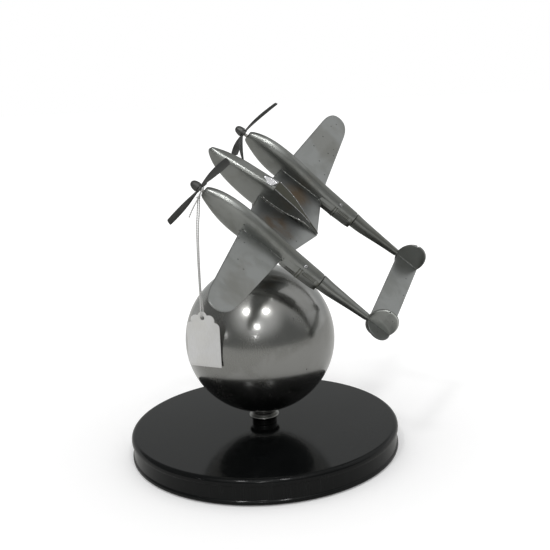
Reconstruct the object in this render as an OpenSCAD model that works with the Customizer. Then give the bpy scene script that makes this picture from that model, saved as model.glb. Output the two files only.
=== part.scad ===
// Desk ornament: a twin-boom aeroplane climbs and banks on a polished ball over a round base.
// Row frame: +Z up, origin at the centre of the underside, nose towards -X, left wing towards -Y.
// Aeroplane frame: +X forward, +Y left, +Z up, origin between the propellers.

/* [Stand] */
// Diameter of the black base
base_d = 152; // [140:1:160]
// Height of the base, felt included
base_h = 14.6; // [13:0.1:18]
// Diameter of the polished ball
ball_d = 83.6; // [82:0.1:85]
// Height of the ball's centre
ball_z = 64.9; // [63:0.1:67]
// Diameter of the neck under the ball
neck_d = 14; // [12:0.5:16]
// Diameter of the stem above the ball
stem_d = 5.6; // [5:0.1:6]

/* [Attitude] */
// Height of the aeroplane's origin
plane_z = 165.9; // [164:0.1:168]
// Climb angle
pitch = 41; // [35:1:45]
// Bank to the left
bank = 32.6; // [28:0.1:36]

/* [Aeroplane] */
// Distance between the two thrust lines
boom_gap = 58.2; // [57:0.1:60]
// Wing span
span = 185.6; // [180:0.1:192]
// Dihedral of the outer wings
dihedral = 5.5; // [3:0.1:7]
// Propeller to fin
fin_x = 110; // [106:0.5:114]
// Propeller tip radius
prop_r = 25; // [22:0.1:25]
// Depth of the left nacelle against the drawing
full_left = 1; // [0.95:0.01:1.05]
// Depth of the right nacelle against the drawing, which the hand finish left a little full
full_right = 1.02; // [0.95:0.01:1.05]

/* [Ticket] */
// Width of the card
card_w = 19.2; // [18:0.2:20]
// Height of the card
card_h = 29.9; // [28:0.1:31]
// Diameter of the string
string_d = 0.8; // [0.6:0.1:0.9]

/* [Hidden] */
$fn = 96;

s = boom_gap / 2;                 // half the gap between the thrust lines
plane_at = [-14.4, -3.9, plane_z];
ball_r = ball_d / 2;
base_r = base_d / 2;
ball_foot = ball_z - ball_r;
thrust_z = -0.6;                  // thrust line below the booms' datum
cut = 1;                          // how far a cutting tool runs past a face

// Directions of the aeroplane's axes in the row frame
forward = [-cos(pitch), 0, sin(pitch)];
left = [-sin(bank) * sin(pitch), -cos(bank), -sin(bank) * cos(pitch)];
up = [cos(bank) * sin(pitch), -sin(bank), cos(bank) * cos(pitch)];
function place(p) = plane_at + p[0] * forward + p[1] * left + p[2] * up;

// Base
felt_t = 1.3;
felt_r = base_r - 6;
felt_proud = 0.5;
rod_r = 3;
rod_foot = 2.6;
rod_l = 44;
well_r = 10;
well_top = 9.6;
washer_r = 8;
washer_t = 1.2;
nut_r = 5.77;
nut_h = 4.8;

// Stem: it leans a little, from the ball's centre to the middle of the pod's belly
belly_x = -30.5;
belly_z = -10.9;
belly = place([belly_x, 0, belly_z]);
belly_at = norm(belly - [0, 0, ball_z]);
stem_side = -asin(belly[1] / belly_at);
stem_lean = atan2(belly[0], belly[2] - ball_z);
shoulder_at = belly_at - 3.4;     // the bar stops here and its peg goes on into the pod
spigot_r = 2.5;
spigot_l = 17;
socket_r = 3.4;
peg_r = 1.6;
peg_l = 6.8;

// Wing, in the aeroplane frame
wing_z = -1.6;
root_t = 2.6;
tip_t = 1.5;
round_y = 80;                     // the tip starts to round here
wing_top = wing_z + root_t / 2;
wing_bottom = wing_z - root_t / 2;

// Boom stations
nac_front = -2.5;
joint_x = -79;
turbo_x = -67.3;
turbo_y = 2.4;                    // the buttons sit on the left shoulder of each boom
turbo_down = 0.62;                // below the boom's crest there
turbo_lean = 34;
fin_t = 1.3;
fin_a = 8.1;
fin_b = 10.6;
fin_c = [fin_x + 7.75, 3.6];
tail_x = fin_c[0] + 0.6;
tail_a = 7.2;
tail_t = 1.4;

// Propeller
hub_r = 2.4;
hub_t = 1.6;
pin_r = 0.9;
pin_in = 12;                      // how deep the pin sits behind the hub's middle
pin_head_r = 1.4;
pin_head_t = 0.9;
run = 0.05;                       // running clearance of the hub on its pin

// One value from a table of [x, value...] rows, on a smooth curve through them
function seg(t, x, i = 0) = (i >= len(t) - 2 || x >= t[i + 1][0]) ? i : seg(t, x, i + 1);
function seg_up(t, x, i = 0) = (i >= len(t) - 2 || x <= t[i + 1][0]) ? i : seg_up(t, x, i + 1);
function slope(t, i, k) = let(a = max(i - 1, 0), b = min(i + 1, len(t) - 1))
    (t[b][k] - t[a][k]) / (t[b][0] - t[a][0]);
function curve(t, x, k) = let(
    i = t[1][0] < t[0][0] ? seg(t, x) : seg_up(t, x),
    w = t[i + 1][0] - t[i][0],
    u = (x - t[i][0]) / w,
    p = t[i][k], q = t[i + 1][k],
    m = slope(t, i, k) * w, n = slope(t, i + 1, k) * w)
    p + u * m + u * u * (3 * (q - p) - 2 * m - n) + u * u * u * (2 * (p - q) + m + n);

// A closed ring across X: half width a, top zt, bottom zb, squareness p above and q below
function ring(x, y, a, zt, zb, p, q, n) = [for (i = [0:n - 1]) let(
    c = cos(360 * i / n), d = sin(360 * i / n), h = (zt - zb) / 2, e = 2 / (d > 0 ? p : q))
    [x, y + a * sign(c) * pow(abs(c), e), (zt + zb) / 2 + h * sign(d) * pow(abs(d), e)]];

// Rings from a table of [x, half width, top, bottom, upper squareness], with extra rings near the front;
// where a table has no upper squareness, q holds above too
function rings(t, y, q, steps, full = 1, n = 20) = let(x0 = t[0][0], x1 = t[len(t) - 1][0])
    [for (i = [0:steps]) let(f = pow(i / steps, 1.3), x = x0 + (x1 - x0) * f)
        ring(x, y, curve(t, x, 1), curve(t, x, 2) * full, curve(t, x, 3) * full,
            len(t[0]) > 4 ? curve(t, x, 4) : q, q, n)];

// One closed skin over rings of equal count
module skin(r) {
    n = len(r[0]);
    m = len(r);
    sides = [for (j = [0:m - 2], i = [0:n - 1]) let(k = (i + 1) % n)
        each [[j * n + i, j * n + k, (j + 1) * n + k], [j * n + i, (j + 1) * n + k, (j + 1) * n + i]]];
    polyhedron([for (q = r) each q],
        concat([[for (i = [n - 1:-1:0]) i]], sides, [[for (i = [0:n - 1]) (m - 1) * n + i]]));
}

module aeroplane() translate(plane_at) rotate([-bank, -pitch, 180]) children();

// The stand

module base_disc() color([0.05, 0.05, 0.05]) difference() {
    rotate_extrude() polygon(concat(
        [[0, felt_proud], [base_r - 0.8, felt_proud], [base_r, felt_proud + 0.8], [base_r, 2.6],
         [base_r - 0.7, 3.3], [base_r - 0.7, base_h - 3.9], [base_r, base_h - 3.5]],
        [for (a = [0:15:90]) [base_r - 2.4 + 2.4 * cos(a), base_h - 2.4 + 2.4 * sin(a)]],
        [[0, base_h]]));
    translate([0, 0, -cut]) cylinder(r = felt_r, h = felt_t + cut);
    translate([0, 0, -cut]) cylinder(r = well_r, h = well_top + cut);
    cylinder(r = rod_r, h = base_h + cut);
}

module base_felt() color([0.05, 0.16, 0.1]) cylinder(r = felt_r, h = felt_t);

module base_washer() color([0.6, 0.6, 0.58]) translate([0, 0, well_top - washer_t]) difference() {
    cylinder(r = washer_r, h = washer_t);
    translate([0, 0, -cut]) cylinder(r = rod_r, h = washer_t + 2 * cut);
}

module base_nut() color([0.62, 0.6, 0.5]) translate([0, 0, well_top - washer_t - nut_h]) difference() {
    cylinder(r = nut_r, h = nut_h, $fn = 6);
    translate([0, 0, -cut]) cylinder(r = rod_r, h = nut_h + 2 * cut);
}

module tie_rod() color([0.55, 0.55, 0.52]) translate([0, 0, rod_foot]) cylinder(r = rod_r, h = rod_l);

module neck_collar() color([0.25, 0.25, 0.26]) difference() {
    rotate_extrude() polygon(concat(
        [[0, base_h], [neck_d / 2 + 0.6, base_h], [neck_d / 2, base_h + 0.8], [neck_d / 2, base_h + 3.2],
         [8.2, base_h + 3.8], [8.6, base_h + 4.5], [8.2, base_h + 5.2]],
        [for (a = [0:15:75]) [6.9 + 3.9 * (1 - cos(a)), base_h + 5.4 + 4.6 * sin(a)]],
        [[0, base_h + 9.84]]));
    translate([0, 0, ball_z]) sphere(r = ball_r);
    translate([0, 0, base_h - cut]) cylinder(r = rod_r, h = ball_foot - base_h + 2 * cut);
}

// From the ball's centre, with +Z along the stem
module along_stem(up_z)
    translate([0, 0, ball_z]) rotate([stem_side, stem_lean, 0]) translate([0, 0, up_z]) children();

module ball() color([0.5, 0.5, 0.5]) difference() {
    translate([0, 0, ball_z]) sphere(r = ball_r);
    translate([0, 0, ball_foot - cut]) cylinder(r = rod_r, h = rod_foot + rod_l - ball_foot + cut);
    along_stem(ball_r - spigot_l) cylinder(r = spigot_r, h = spigot_l + cut);
}

module stem_collar() color([0.5, 0.5, 0.5]) difference() {
    along_stem(ball_r - 1) rotate_extrude() polygon([[0, 0], [6.2, 0], [6.5, 1], [6.1, 1.8], [4.4, 2.4],
        [3.8, 3.6], [0, 3.6]]);
    translate([0, 0, ball_z]) sphere(r = ball_r);
    along_stem(ball_r - 2) cylinder(r = stem_d / 2, h = 8);
}

// Round bar with a thinner foot in the ball and a peg that goes up into the pod
module stem() color([0.5, 0.5, 0.5]) {
    along_stem(ball_r - spigot_l) cylinder(r = spigot_r, h = spigot_l + cut);
    along_stem(ball_r) cylinder(r = stem_d / 2, h = shoulder_at - ball_r);
    along_stem(shoulder_at - cut) cylinder(r = peg_r, h = peg_l + cut);
}

// Ferrule round the bar's end, cut to the belly of the pod and its keel
module stem_socket() color([0.5, 0.5, 0.5]) difference() {
    along_stem(shoulder_at - 2) cylinder(r = socket_r, h = 7);
    along_stem(shoulder_at - 3) cylinder(r = stem_d / 2, h = 3);
    along_stem(shoulder_at - 3) cylinder(r = peg_r, h = 12);
    aeroplane() pod_skin();
    aeroplane() for (x = [0, 0.2]) translate([x, 0, 0]) keel_skin();
}

// The pod between the booms

// [x, half width, top, bottom, upper squareness]: a rounded nose that turns into a box with a flat top
pod_rows = [[9.2, 0.25, -0.3, -0.8, 2.4], [8.4, 1.1, 1.65, -2, 2.4], [6.4, 2, 2.61, -3.65, 2.6],
    [2.5, 3.2, 3.91, -5.86, 3], [-2, 3.7, 5.09, -7.59, 3.8], [-9, 4.05, 6.56, -9.41, 5],
    [-18, 4.2, 7.9, -10.62, 5], [-26, 4.2, 8.98, -10.99, 5], [-34, 4.1, 9.57, -10.72, 5]];
pod_q = 2.6;                      // squareness of the pod's lower half
pod_back = -31;                   // the pod's upper half ends here, behind the hood

module pod_skin() skin(rings(pod_rows, 0, pod_q, 20, n = 28));

// Faceted hood, let into the pod's flat top: pointed in front, with a roof that rises towards the back
hood_plan = [[-22.3, 0], [-25.8, -3.4], [-28.8, -3.3], [-30.9, -0.9], [-30.9, 0.9], [-28.8, 3.3],
    [-25.8, 3.4]];
hood_rim = [9, 8.4, 8.9, 11.2, 11.2, 8.9, 8.4];
hood_peak = [-26, 0, 10.5];
hood_foot = 7;

module hood() let(n = len(hood_plan)) polyhedron(
    concat([for (p = hood_plan) [p[0], p[1], hood_foot]],
        [for (i = [0:n - 1]) [hood_plan[i][0], hood_plan[i][1], hood_rim[i]]], [hood_peak]),
    concat([[for (i = [n - 1:-1:0]) i]],
        [for (i = [0:n - 1]) let(k = (i + 1) % n) each [[i, k, k + n, i + n], [i + n, k + n, 2 * n]]]));

// The hood's seat, the wing's slot, the spine's seat and the hole for the stem's peg are cut out of it
module pod() color([0.45, 0.46, 0.45]) difference() {
    aeroplane() difference() {
        pod_skin();
        hood();
        translate([-36, -6, wing_bottom]) cube([9.6, 12, root_t]);
        translate([-36, -6, wing_bottom]) cube([36 + pod_back, 12, 14]);
    }
    along_stem(shoulder_at) cylinder(r = peg_r, h = peg_l);
}

module canopy() color([0.7, 0.7, 0.7]) aeroplane() hood();

// [x, half width of the flat top, top, half width at the wing]
spine_rows = [[pod_back, 3.95, 9.15, 4.3], [-37.5, 3.6, 8.3, 3.9], [-44, 2.75, 7.2, 3.1],
    [-47, 2.2, 6.4, 2.6], [-52.4, 1.15, 4.8, 1.6], [-57.8, 0.45, 3.1, 0.85], [-65, 0.2, 0.4, 0.4]];

module pod_spine() color([0.35, 0.35, 0.34]) aeroplane() skin(
    [for (r = spine_rows) [[r[0], r[3], wing_top], [r[0], r[1], r[2] - 0.3], [r[0], r[1] * 0.92, r[2]],
        [r[0], -r[1] * 0.92, r[2]], [r[0], -r[1], r[2] - 0.3], [r[0], -r[3], wing_top]]]);

// [x, half width, bottom]
keel_rows = [[-34, 4.05, -10.6], [-40, 3.7, -9.6], [-46, 3, -8], [-54, 1.9, -5.4], [-60, 1, -3.6]];

// The lower half of a ring, hung under the wing
function keel_ring(r, n = 12) = [for (i = [0:n]) let(c = cos(180 * i / n), d = abs(sin(180 * i / n)))
    [r[0], -r[1] * sign(c) * pow(abs(c), 2 / pod_q),
        wing_bottom + (r[2] - wing_bottom) * pow(d, 2 / pod_q)]];

module keel_skin() skin([for (r = keel_rows) keel_ring(r)]);
module pod_keel() color([0.35, 0.35, 0.34]) aeroplane() keel_skin();

// The wing

// Leading and trailing edges of the outer wing, which meet in a rounded tip
function tip_in(y) = y <= round_y ? 1 : pow(1 - pow((y - round_y) / (span / 2 - round_y), 2.6), 1 / 2.6);
function lead(y) = -39.6 + (10.6 - 0.065 * (y - s)) * tip_in(y);
function trail(y) = -39.6 - (16.4 - 0.142 * (y - s)) * tip_in(y);

// Section across the wing at y: flat above, rounded edges, thinner towards the back below
function blade_ring(y, x0, x1, z, t, n = 24) = [for (i = [0:n - 1]) let(
    c = cos(360 * i / n), d = sin(360 * i / n), u = (1 - c) / 2,
    h = t / 2 * pow(abs(d), 0.45) * (d > 0 ? 1 : 1 - 0.6 * u))
    [x0 + (x1 - x0) * u, y, z + (d > 0 ? h : -h)]];

outer_ys = [29.1, 40, 55, 68, 80, 84, 87.5, 90, 91.6, 92.5, 92.78];

module outer_wing(side) aeroplane() mirror([0, side < 0 ? 1 : 0, 0]) skin([for (y = outer_ys) let(
    f = (y - s) / (span / 2 - s), t = (root_t + (tip_t - root_t) * f) * max(0.35, sqrt(tip_in(y))))
    blade_ring(y, lead(y), trail(y), wing_z + (y - s) * tan(dihedral), t)]);

module wing_left() color([0.5, 0.52, 0.5]) outer_wing(1);
module wing_right() color([0.5, 0.52, 0.5]) outer_wing(-1);

centre_ys = [-29.1, -20, -10, 0, 10, 20, 29.1];

module wing_centre() color([0.4, 0.38, 0.35]) aeroplane() skin([for (y = centre_ys)
    blade_ring(y, -26.4 - 0.08 * abs(y), -65.4 + 0.31 * abs(y), wing_z, root_t)]);

// The nacelles and booms

// [x, half width, top, bottom]
nacelle_rows = [[nac_front, 1.9, 2.85, -2.72], [-4, 2.6, 3.96, -3.77], [-6, 3.1, 5.02, -4.63],
    [-9, 3.65, 6.21, -5.82], [-12, 4, 7.08, -6.95], [-18, 4.5, 8.04, -8.56], [-26, 4.7, 8.26, -9.44],
    [-34, 4.65, 7.89, -9.19], [-44, 4.5, 6.8, -7.7], [-57, 4.4, 5.5, -5.4], [-68, 4.1, 4.8, -4.3],
    [joint_x, 3.75, 4.2, -3.8]];

function full(side) = side > 0 ? full_left : full_right;
module nacelle_skin(side) aeroplane() skin(rings(nacelle_rows, side * s, 2.3, 24, full(side)));

module nacelle(side) difference() {
    nacelle_skin(side);
    wing_centre();
    outer_wing(side);
    aeroplane() translate([-pin_in, side * s, thrust_z]) rotate([0, 90, 0]) cylinder(r = pin_r, h = pin_in);
}

module nacelle_left() color([0.42, 0.43, 0.42]) nacelle(1);
module nacelle_right() color([0.42, 0.43, 0.42]) nacelle(-1);

// Side radiator: two boxes with a strap between them and grooves along the lower half
module radiator(side, out) difference() {
    aeroplane() translate([0, side * s, 0]) mirror([0, side * out < 0 ? 1 : 0, 0]) difference() {
        translate([0, 0, -3.6]) linear_extrude(4.4) polygon([[-53.5, 2], [-56, 5.3], [-66, 5.4],
            [-66, 5.8], [-66.8, 5.8], [-66.8, 5.4], [-76, 5], [-78.6, 4.4], [-78.6, 2]]);
        for (z = [-3.1, -2.3, -1.5]) translate([-65, 5, z]) cube([6, 2, 0.35]);
        translate([-70, 2, 0.4]) rotate([35, 0, 0]) translate([-16, -2, 0.9]) cube([32, 8, 3]);
    }
    nacelle_skin(side);
    wing_centre();
}

module radiator_left_outer() color([0.4, 0.4, 0.4]) radiator(1, 1);
module radiator_left_inner() color([0.4, 0.4, 0.4]) radiator(1, -1);
module radiator_right_outer() color([0.4, 0.4, 0.4]) radiator(-1, 1);
module radiator_right_inner() color([0.4, 0.4, 0.4]) radiator(-1, -1);

// Round button on each boom, cut to the boom's skin
module turbo(side) difference() {
    crest = curve(nacelle_rows, turbo_x, 2) * full(side);
    aeroplane() translate([turbo_x, side * s + turbo_y, crest - turbo_down]) rotate([-turbo_lean, 0, 0])
        rotate_extrude() polygon([[0, -0.6], [1.2, -0.6], [1.2, 0.3], [0.9, 0.6], [0, 0.8]]);
    nacelle_skin(side);
}

module turbo_left() color([0.75, 0.75, 0.75]) turbo(1);
module turbo_right() color([0.75, 0.75, 0.75]) turbo(-1);

// [x, half width, top, bottom]
tail_rows = [[joint_x, 3.65, 3.8, -3.75], [-85, 3.35, 3.24, -3.6], [-93, 2.75, 2.97, -2.83],
    [-101, 2.2, 2.71, -1.99], [-fin_x - 0.9, 1.6, 2.4, -1.2]];

// The rear end is cut to the fin
module tail_boom(side) difference() {
    aeroplane() skin(rings(tail_rows, side * s, 3.2, 8));
    fin(side);
}

module tail_boom_left() color([0.4, 0.4, 0.4]) tail_boom(1);
module tail_boom_right() color([0.4, 0.4, 0.4]) tail_boom(-1);

// Tail

module tailplane_bar(y0, y1) translate([0, y1, 0]) rotate([90, 0, 0]) linear_extrude(y1 - y0)
    polygon([for (a = [0:15:345]) [-tail_x + tail_a * cos(a),
        tail_t / 2 * sign(sin(a)) * pow(abs(sin(a)), 0.5)]]);

module tailplane() color([0.5, 0.5, 0.48]) aeroplane() tailplane_bar(-s + fin_t / 2, s - fin_t / 2);

module tail_tip(side) aeroplane() translate([-tail_x, side * (s + fin_t / 2), -tail_t / 2]) intersection() {
    cylinder(r = tail_a, h = tail_t);
    translate([-8, side > 0 ? 0 : -8, -cut]) cube([16, 8, 4]);
}

module tail_tip_left() color([0.5, 0.5, 0.48]) tail_tip(1);
module tail_tip_right() color([0.5, 0.5, 0.48]) tail_tip(-1);

// Oval fin with a small notch where the rudder starts
module fin(side) aeroplane() translate([-fin_c[0], side * s + fin_t / 2, fin_c[1]]) rotate([90, 0, 0])
    linear_extrude(fin_t) difference() {
        polygon([for (a = [0:7.5:352.5]) [fin_a * cos(a), fin_b * sin(a)]]);
        translate([1.9, fin_b + 0.1]) polygon([[-0.5, 0.6], [0.7, 0.6], [0.1, -1.4]]);
    }

module fin_left() color([0.42, 0.43, 0.42]) fin(1);
module fin_right() color([0.42, 0.43, 0.42]) fin(-1);

// Propellers

// [radius, chord, thickness, twist added to the blade's own pitch]
blade_rows = [[1.6, 1.3, 1.1, 22], [3.2, 1.4, 1.0, 18], [5.5, 2.0, 0.9, 13], [10, 3.3, 0.8, 5],
    [15, 4.2, 0.75, 0], [20, 4.5, 0.7, -3], [23.2, 4.3, 0.65, -4], [prop_r - 0.3, 3.8, 0.55, -5],
    [prop_r, 3.3, 0.5, -5]];

// A blade along +Y: its chord lies in the disc at pitch 0 and along the shaft at pitch 90;
// bend is how far the tip leans back
module blade(pitch_deg, bend) skin([for (r = blade_rows) let(b = pitch_deg + r[3],
    back = bend * pow((r[0] - 1.6) / prop_r, 1.5), out = r[0] * sqrt(1 - pow(bend / prop_r, 2) * 0.9))
    [for (a = [0:-45:-315]) let(u = r[1] / 2 * cos(a), v = r[2] / 2 * sin(a))
        [u * sin(b) + v * cos(b) - back, out, u * cos(b) - v * sin(b)]]]);

// turn is the first blade's angle; every blade has its own pitch and bend
module propeller(side, turn, pitches, bends) aeroplane() translate([0, side * s, thrust_z]) difference() {
    union() {
        translate([-hub_t / 2, 0, 0]) rotate([0, 90, 0]) cylinder(r = hub_r, h = hub_t);
        for (k = [0:2]) rotate([turn + 120 * k, 0, 0]) blade(pitches[k], bends[k]);
    }
    translate([-hub_t, 0, 0]) rotate([0, 90, 0]) cylinder(r = pin_r + run, h = 2 * hub_t);
}

module propeller_left() color([0.22, 0.22, 0.22]) propeller(1, 95, [62, 40, 48], [3.4, 0, -1.7]);
module propeller_right() color([0.22, 0.22, 0.22]) propeller(-1, 130, [28, 52, 68], [4.8, 3.5, 9]);

spinner_r = 2.6;
spinner_l = 4.6;

// Blunt cap over the pin's head
module spinner(side) aeroplane() translate([hub_t / 2, side * s, thrust_z]) rotate([0, 90, 0])
    difference() {
        rotate_extrude() polygon(concat([[0, 0]],
            [for (a = [0:10:90]) [spinner_r * pow(cos(a), 0.8), spinner_l * sin(a)]]));
        translate([0, 0, -cut]) cylinder(r = pin_head_r + 0.3, h = pin_head_t + 0.8 + cut);
    }

module spinner_left() color([0.25, 0.25, 0.24]) spinner(1);
module spinner_right() color([0.25, 0.25, 0.24]) spinner(-1);

// Shaft pin: pressed into the nacelle, with its head inside the spinner
module propeller_pin(side) aeroplane() translate([0, side * s, thrust_z]) rotate([0, 90, 0]) {
    translate([0, 0, -pin_in]) cylinder(r = pin_r, h = pin_in + hub_t / 2 + pin_head_t);
    translate([0, 0, hub_t / 2 + 0.3]) cylinder(r = pin_head_r, h = pin_head_t);
}

module propeller_pin_left() color([0.7, 0.68, 0.6]) propeller_pin(1);
module propeller_pin_right() color([0.7, 0.68, 0.6]) propeller_pin(-1);

// The swing ticket, hung on the left propeller's pin

card_t = 0.4;
card_turn = -20;                  // the card's right side is the nearer one
card_at = [-27.3, -34.9, 87];     // centre of its eyelet hole
card_top = 3.4;                   // the card's top above that hole
hole_r = 1.2;
shoulder_r = 2.8;
shoulder_y = -5.2;

// Front outline round the eyelet: three scallops over two shoulders, and a foot with one corner off
module card_outline() difference() {
    union() {
        translate([0, card_top - card_h]) polygon([[card_w / 2, 0],
            [card_w / 2, card_h - card_top + shoulder_y],
            [-card_w / 2, card_h - card_top + shoulder_y], [-card_w / 2, 2.6], [1.6 - card_w / 2, 0.2]]);
        for (x = [-1, 1]) translate([x * (card_w / 2 - shoulder_r), shoulder_y]) circle(r = shoulder_r);
        translate([shoulder_r - card_w / 2, shoulder_y]) square([card_w - 2 * shoulder_r, shoulder_r]);
        for (x = [-4, 4]) translate([x, -1.4]) circle(r = 2.9);
        translate([0, card_top - 2.5]) circle(r = 2.5);
        translate([-4, -3]) square([8, 3.4]);
    }
    circle(r = hole_r);
}

module ticket_card() color([0.86, 0.86, 0.85])
    translate(card_at) rotate([0, 0, card_turn]) rotate([90, 0, 0])
    translate([0, 0, -card_t / 2]) linear_extrude(card_t) card_outline();

// The knot under the pin
knot_r = 0.95;
knot_at = [-26, -28.7, 149];

module ticket_knot() color([0.8, 0.8, 0.78]) translate(knot_at) sphere(r = knot_r, $fn = 32);

// String route from the knot: down to the card, in at the front of the eyelet and out at the back,
// up again, round the pin between the hub and the nacelle, and a loose end
string_points = [[-26, -28.7, 149], [-26.4, -29, 146], [-26.9, -29.5, 141], [-27.4, -30.1, 136],
    [-27.7, -30.8, 130], [-27.9, -31.9, 120], [-27.9, -33, 110], [-27.8, -34.1, 100], [-27.7, -35.1, 94],
    [-27.8, -36, 91], [-27.8, -36.3, 89.4], [-27.6, -35.9, 88.2], [-27.3, -34.9, 87.7],
    [-27, -33.9, 88.2], [-26.8, -33.5, 89.4], [-26.8, -33.4, 91], [-27, -33.4, 94], [-27.3, -33, 100],
    [-27.3, -32.2, 110], [-27.2, -31.3, 120], [-26.9, -30.3, 130], [-26.5, -29.7, 136],
    [-25.9, -29.1, 141], [-25.5, -28.3, 146], [-25.2, -27.3, 150], [-24.4, -26.7, 151.9],
    [-23.6, -26.7, 153], [-23, -27.3, 153.7], [-22.8, -28.2, 153.9], [-23.2, -29.2, 153.5],
    [-24, -29.6, 152.4], [-25, -29.6, 150.8], [-26.4, -29.8, 148], [-28.2, -29.6, 145],
    [-30, -29.3, 141.8], [-31.3, -29, 139.1]];

function unit(v) = v / norm(v);
function mid(p, i, u) = let(
    a = p[max(i - 1, 0)], b = p[i], c = p[i + 1], d = p[min(i + 2, len(p) - 1)],
    m = (c - a) / 2, n = (d - b) / 2)
    b + u * m + u * u * (3 * (c - b) - 2 * m - n) + u * u * u * (2 * (b - c) + m + n);
function smooth(p, k) = concat([for (i = [0:len(p) - 2], j = [0:k - 1]) mid(p, i, j / k)], [p[len(p) - 1]]);
function tangent(p, i) = unit(p[min(i + 1, len(p) - 1)] - p[max(i - 1, 0)]);

// The first direction across the tube at each ring, carried along without twist
function carry(p, i, a) = let(t = tangent(p, i), b = unit(a - (a * t) * t))
    i == len(p) - 1 ? [b] : concat([b], carry(p, i + 1, b));
function tube_ring(p, t, a, r, n = 8) = let(b = cross(a, t))
    [for (i = [0:n - 1]) p + r * (cos(360 * i / n) * a + sin(360 * i / n) * b)];
function tube(p, r) = let(across = carry(p, 0, [1, 0, 0]))
    [for (i = [0:len(p) - 1]) tube_ring(p[i], tangent(p, i), across[i], r)];

module ticket_string() color([0.9, 0.9, 0.88]) skin(tube(smooth(string_points, 2), string_d / 2));

base_disc();
base_felt();
base_washer();
base_nut();
tie_rod();
neck_collar();
ball();
stem_collar();
stem();
stem_socket();
pod();
canopy();
pod_spine();
pod_keel();
wing_centre();
wing_left();
wing_right();
nacelle_left();
nacelle_right();
radiator_left_outer();
radiator_left_inner();
radiator_right_outer();
radiator_right_inner();
turbo_left();
turbo_right();
tail_boom_left();
tail_boom_right();
tailplane();
tail_tip_left();
tail_tip_right();
fin_left();
fin_right();
propeller_left();
propeller_right();
spinner_left();
spinner_right();
propeller_pin_left();
propeller_pin_right();
ticket_card();
ticket_knot();
ticket_string();
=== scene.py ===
"""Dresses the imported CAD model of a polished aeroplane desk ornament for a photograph-like render.

Lengths in the tables are millimetres. Aeroplane axes are x forward, y left and z up, from the point
midway between the propellers; everything that leaves a shape function is in metres in the CAD frame.
"""

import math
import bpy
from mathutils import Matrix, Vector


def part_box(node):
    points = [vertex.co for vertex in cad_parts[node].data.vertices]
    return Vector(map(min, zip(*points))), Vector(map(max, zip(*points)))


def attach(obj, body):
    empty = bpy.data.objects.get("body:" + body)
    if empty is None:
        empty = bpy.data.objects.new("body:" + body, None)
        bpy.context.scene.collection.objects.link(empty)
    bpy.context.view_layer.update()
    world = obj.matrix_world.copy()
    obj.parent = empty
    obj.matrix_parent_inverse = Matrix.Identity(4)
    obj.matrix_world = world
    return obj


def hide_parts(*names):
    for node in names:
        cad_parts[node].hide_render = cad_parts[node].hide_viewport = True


bl_info = {
    "name": "Airplane Desk Ornament",
    "version": (1, 0, 0),
    "blender": (4, 5, 0),
    "location": "3D View > Sidebar > Ornament",
    "description": "Dresses a polished twin-boom aeroplane on a ball and base, with its string ticket",
    "category": "Object",
}

import bpy
import numpy as np
from bpy.props import FloatProperty, FloatVectorProperty, PointerProperty
from mathutils import Vector

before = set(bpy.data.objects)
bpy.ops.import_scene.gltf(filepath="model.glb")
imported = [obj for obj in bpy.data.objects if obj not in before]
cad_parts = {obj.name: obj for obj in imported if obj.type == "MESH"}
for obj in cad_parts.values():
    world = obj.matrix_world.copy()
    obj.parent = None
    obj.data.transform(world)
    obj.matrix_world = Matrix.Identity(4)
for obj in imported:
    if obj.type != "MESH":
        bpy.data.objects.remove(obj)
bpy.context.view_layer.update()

# Places shared with the CAD
MM = 0.001
HANDS = ((1, "left"), (-1, "right"))
# The aeroplane's datum, its climb and bank, and its axes as rows in the CAD frame
PLANE_AT = np.array([-14.4, -3.9, 165.9])
PITCH = math.radians(41.0)
BANK = math.radians(32.6)
AXES = np.array([
    [-math.cos(PITCH), 0.0, math.sin(PITCH)],
    [-math.sin(BANK) * math.sin(PITCH), -math.cos(BANK), -math.sin(BANK) * math.cos(PITCH)],
    [math.cos(BANK) * math.sin(PITCH), -math.sin(BANK), math.cos(BANK) * math.cos(PITCH)],
])
# Half the distance between the booms, and the height of the propellers' shafts
HALF_GAP = 29.1
THRUST_Z = -0.6
# The wing's mid height, its thickness at root and tip, and its upper face between the booms
WING_Z = -1.6
ROOT_T = 2.6
TIP_T = 1.5
WING_TOP = WING_Z + ROOT_T / 2
# Where the wing tip's rounding starts, the tip's place, and the rise of the outer panels
ROUND_Y = 80.0
HALF_SPAN = 92.8
TIP_X = -39.6
DIHEDRAL = math.radians(5.5)
# Power of the superellipses of the pod's belly, the keel and the wing tips
SOFT_SQUARE = 2.6
# Stations: the end of the bare pod, the buttons, the booms' joint and the booms' ends
POD_BREAK = -31
BUTTON_X = -67.3
JOINT_X = -79.0
BOOM_END = -110.9
# The fins' middle and thickness, and the tailplane's middle and half its chord
FIN_X = -117.75
FIN_Z = 3.6
FIN_T = 1.3
TAIL_X = -118.35
TAIL_R = 7.2
# The base's top, the ball's centre and the middle of the pod's belly
BASE_TOP = 14.6
BALL_Z = 64.9
BELLY = PLANE_AT + np.array([-30.5, 0.0, -10.9]) @ AXES
# How deep each nacelle is, as a multiple of its rows
NACELLE_DEPTH = {1: 1.0, -1: 1.02}

# The least angles, in degrees, of a sharp edge on a plain piece and on a round one
EDGE = 50
ALL_SMOOTH = 80

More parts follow.
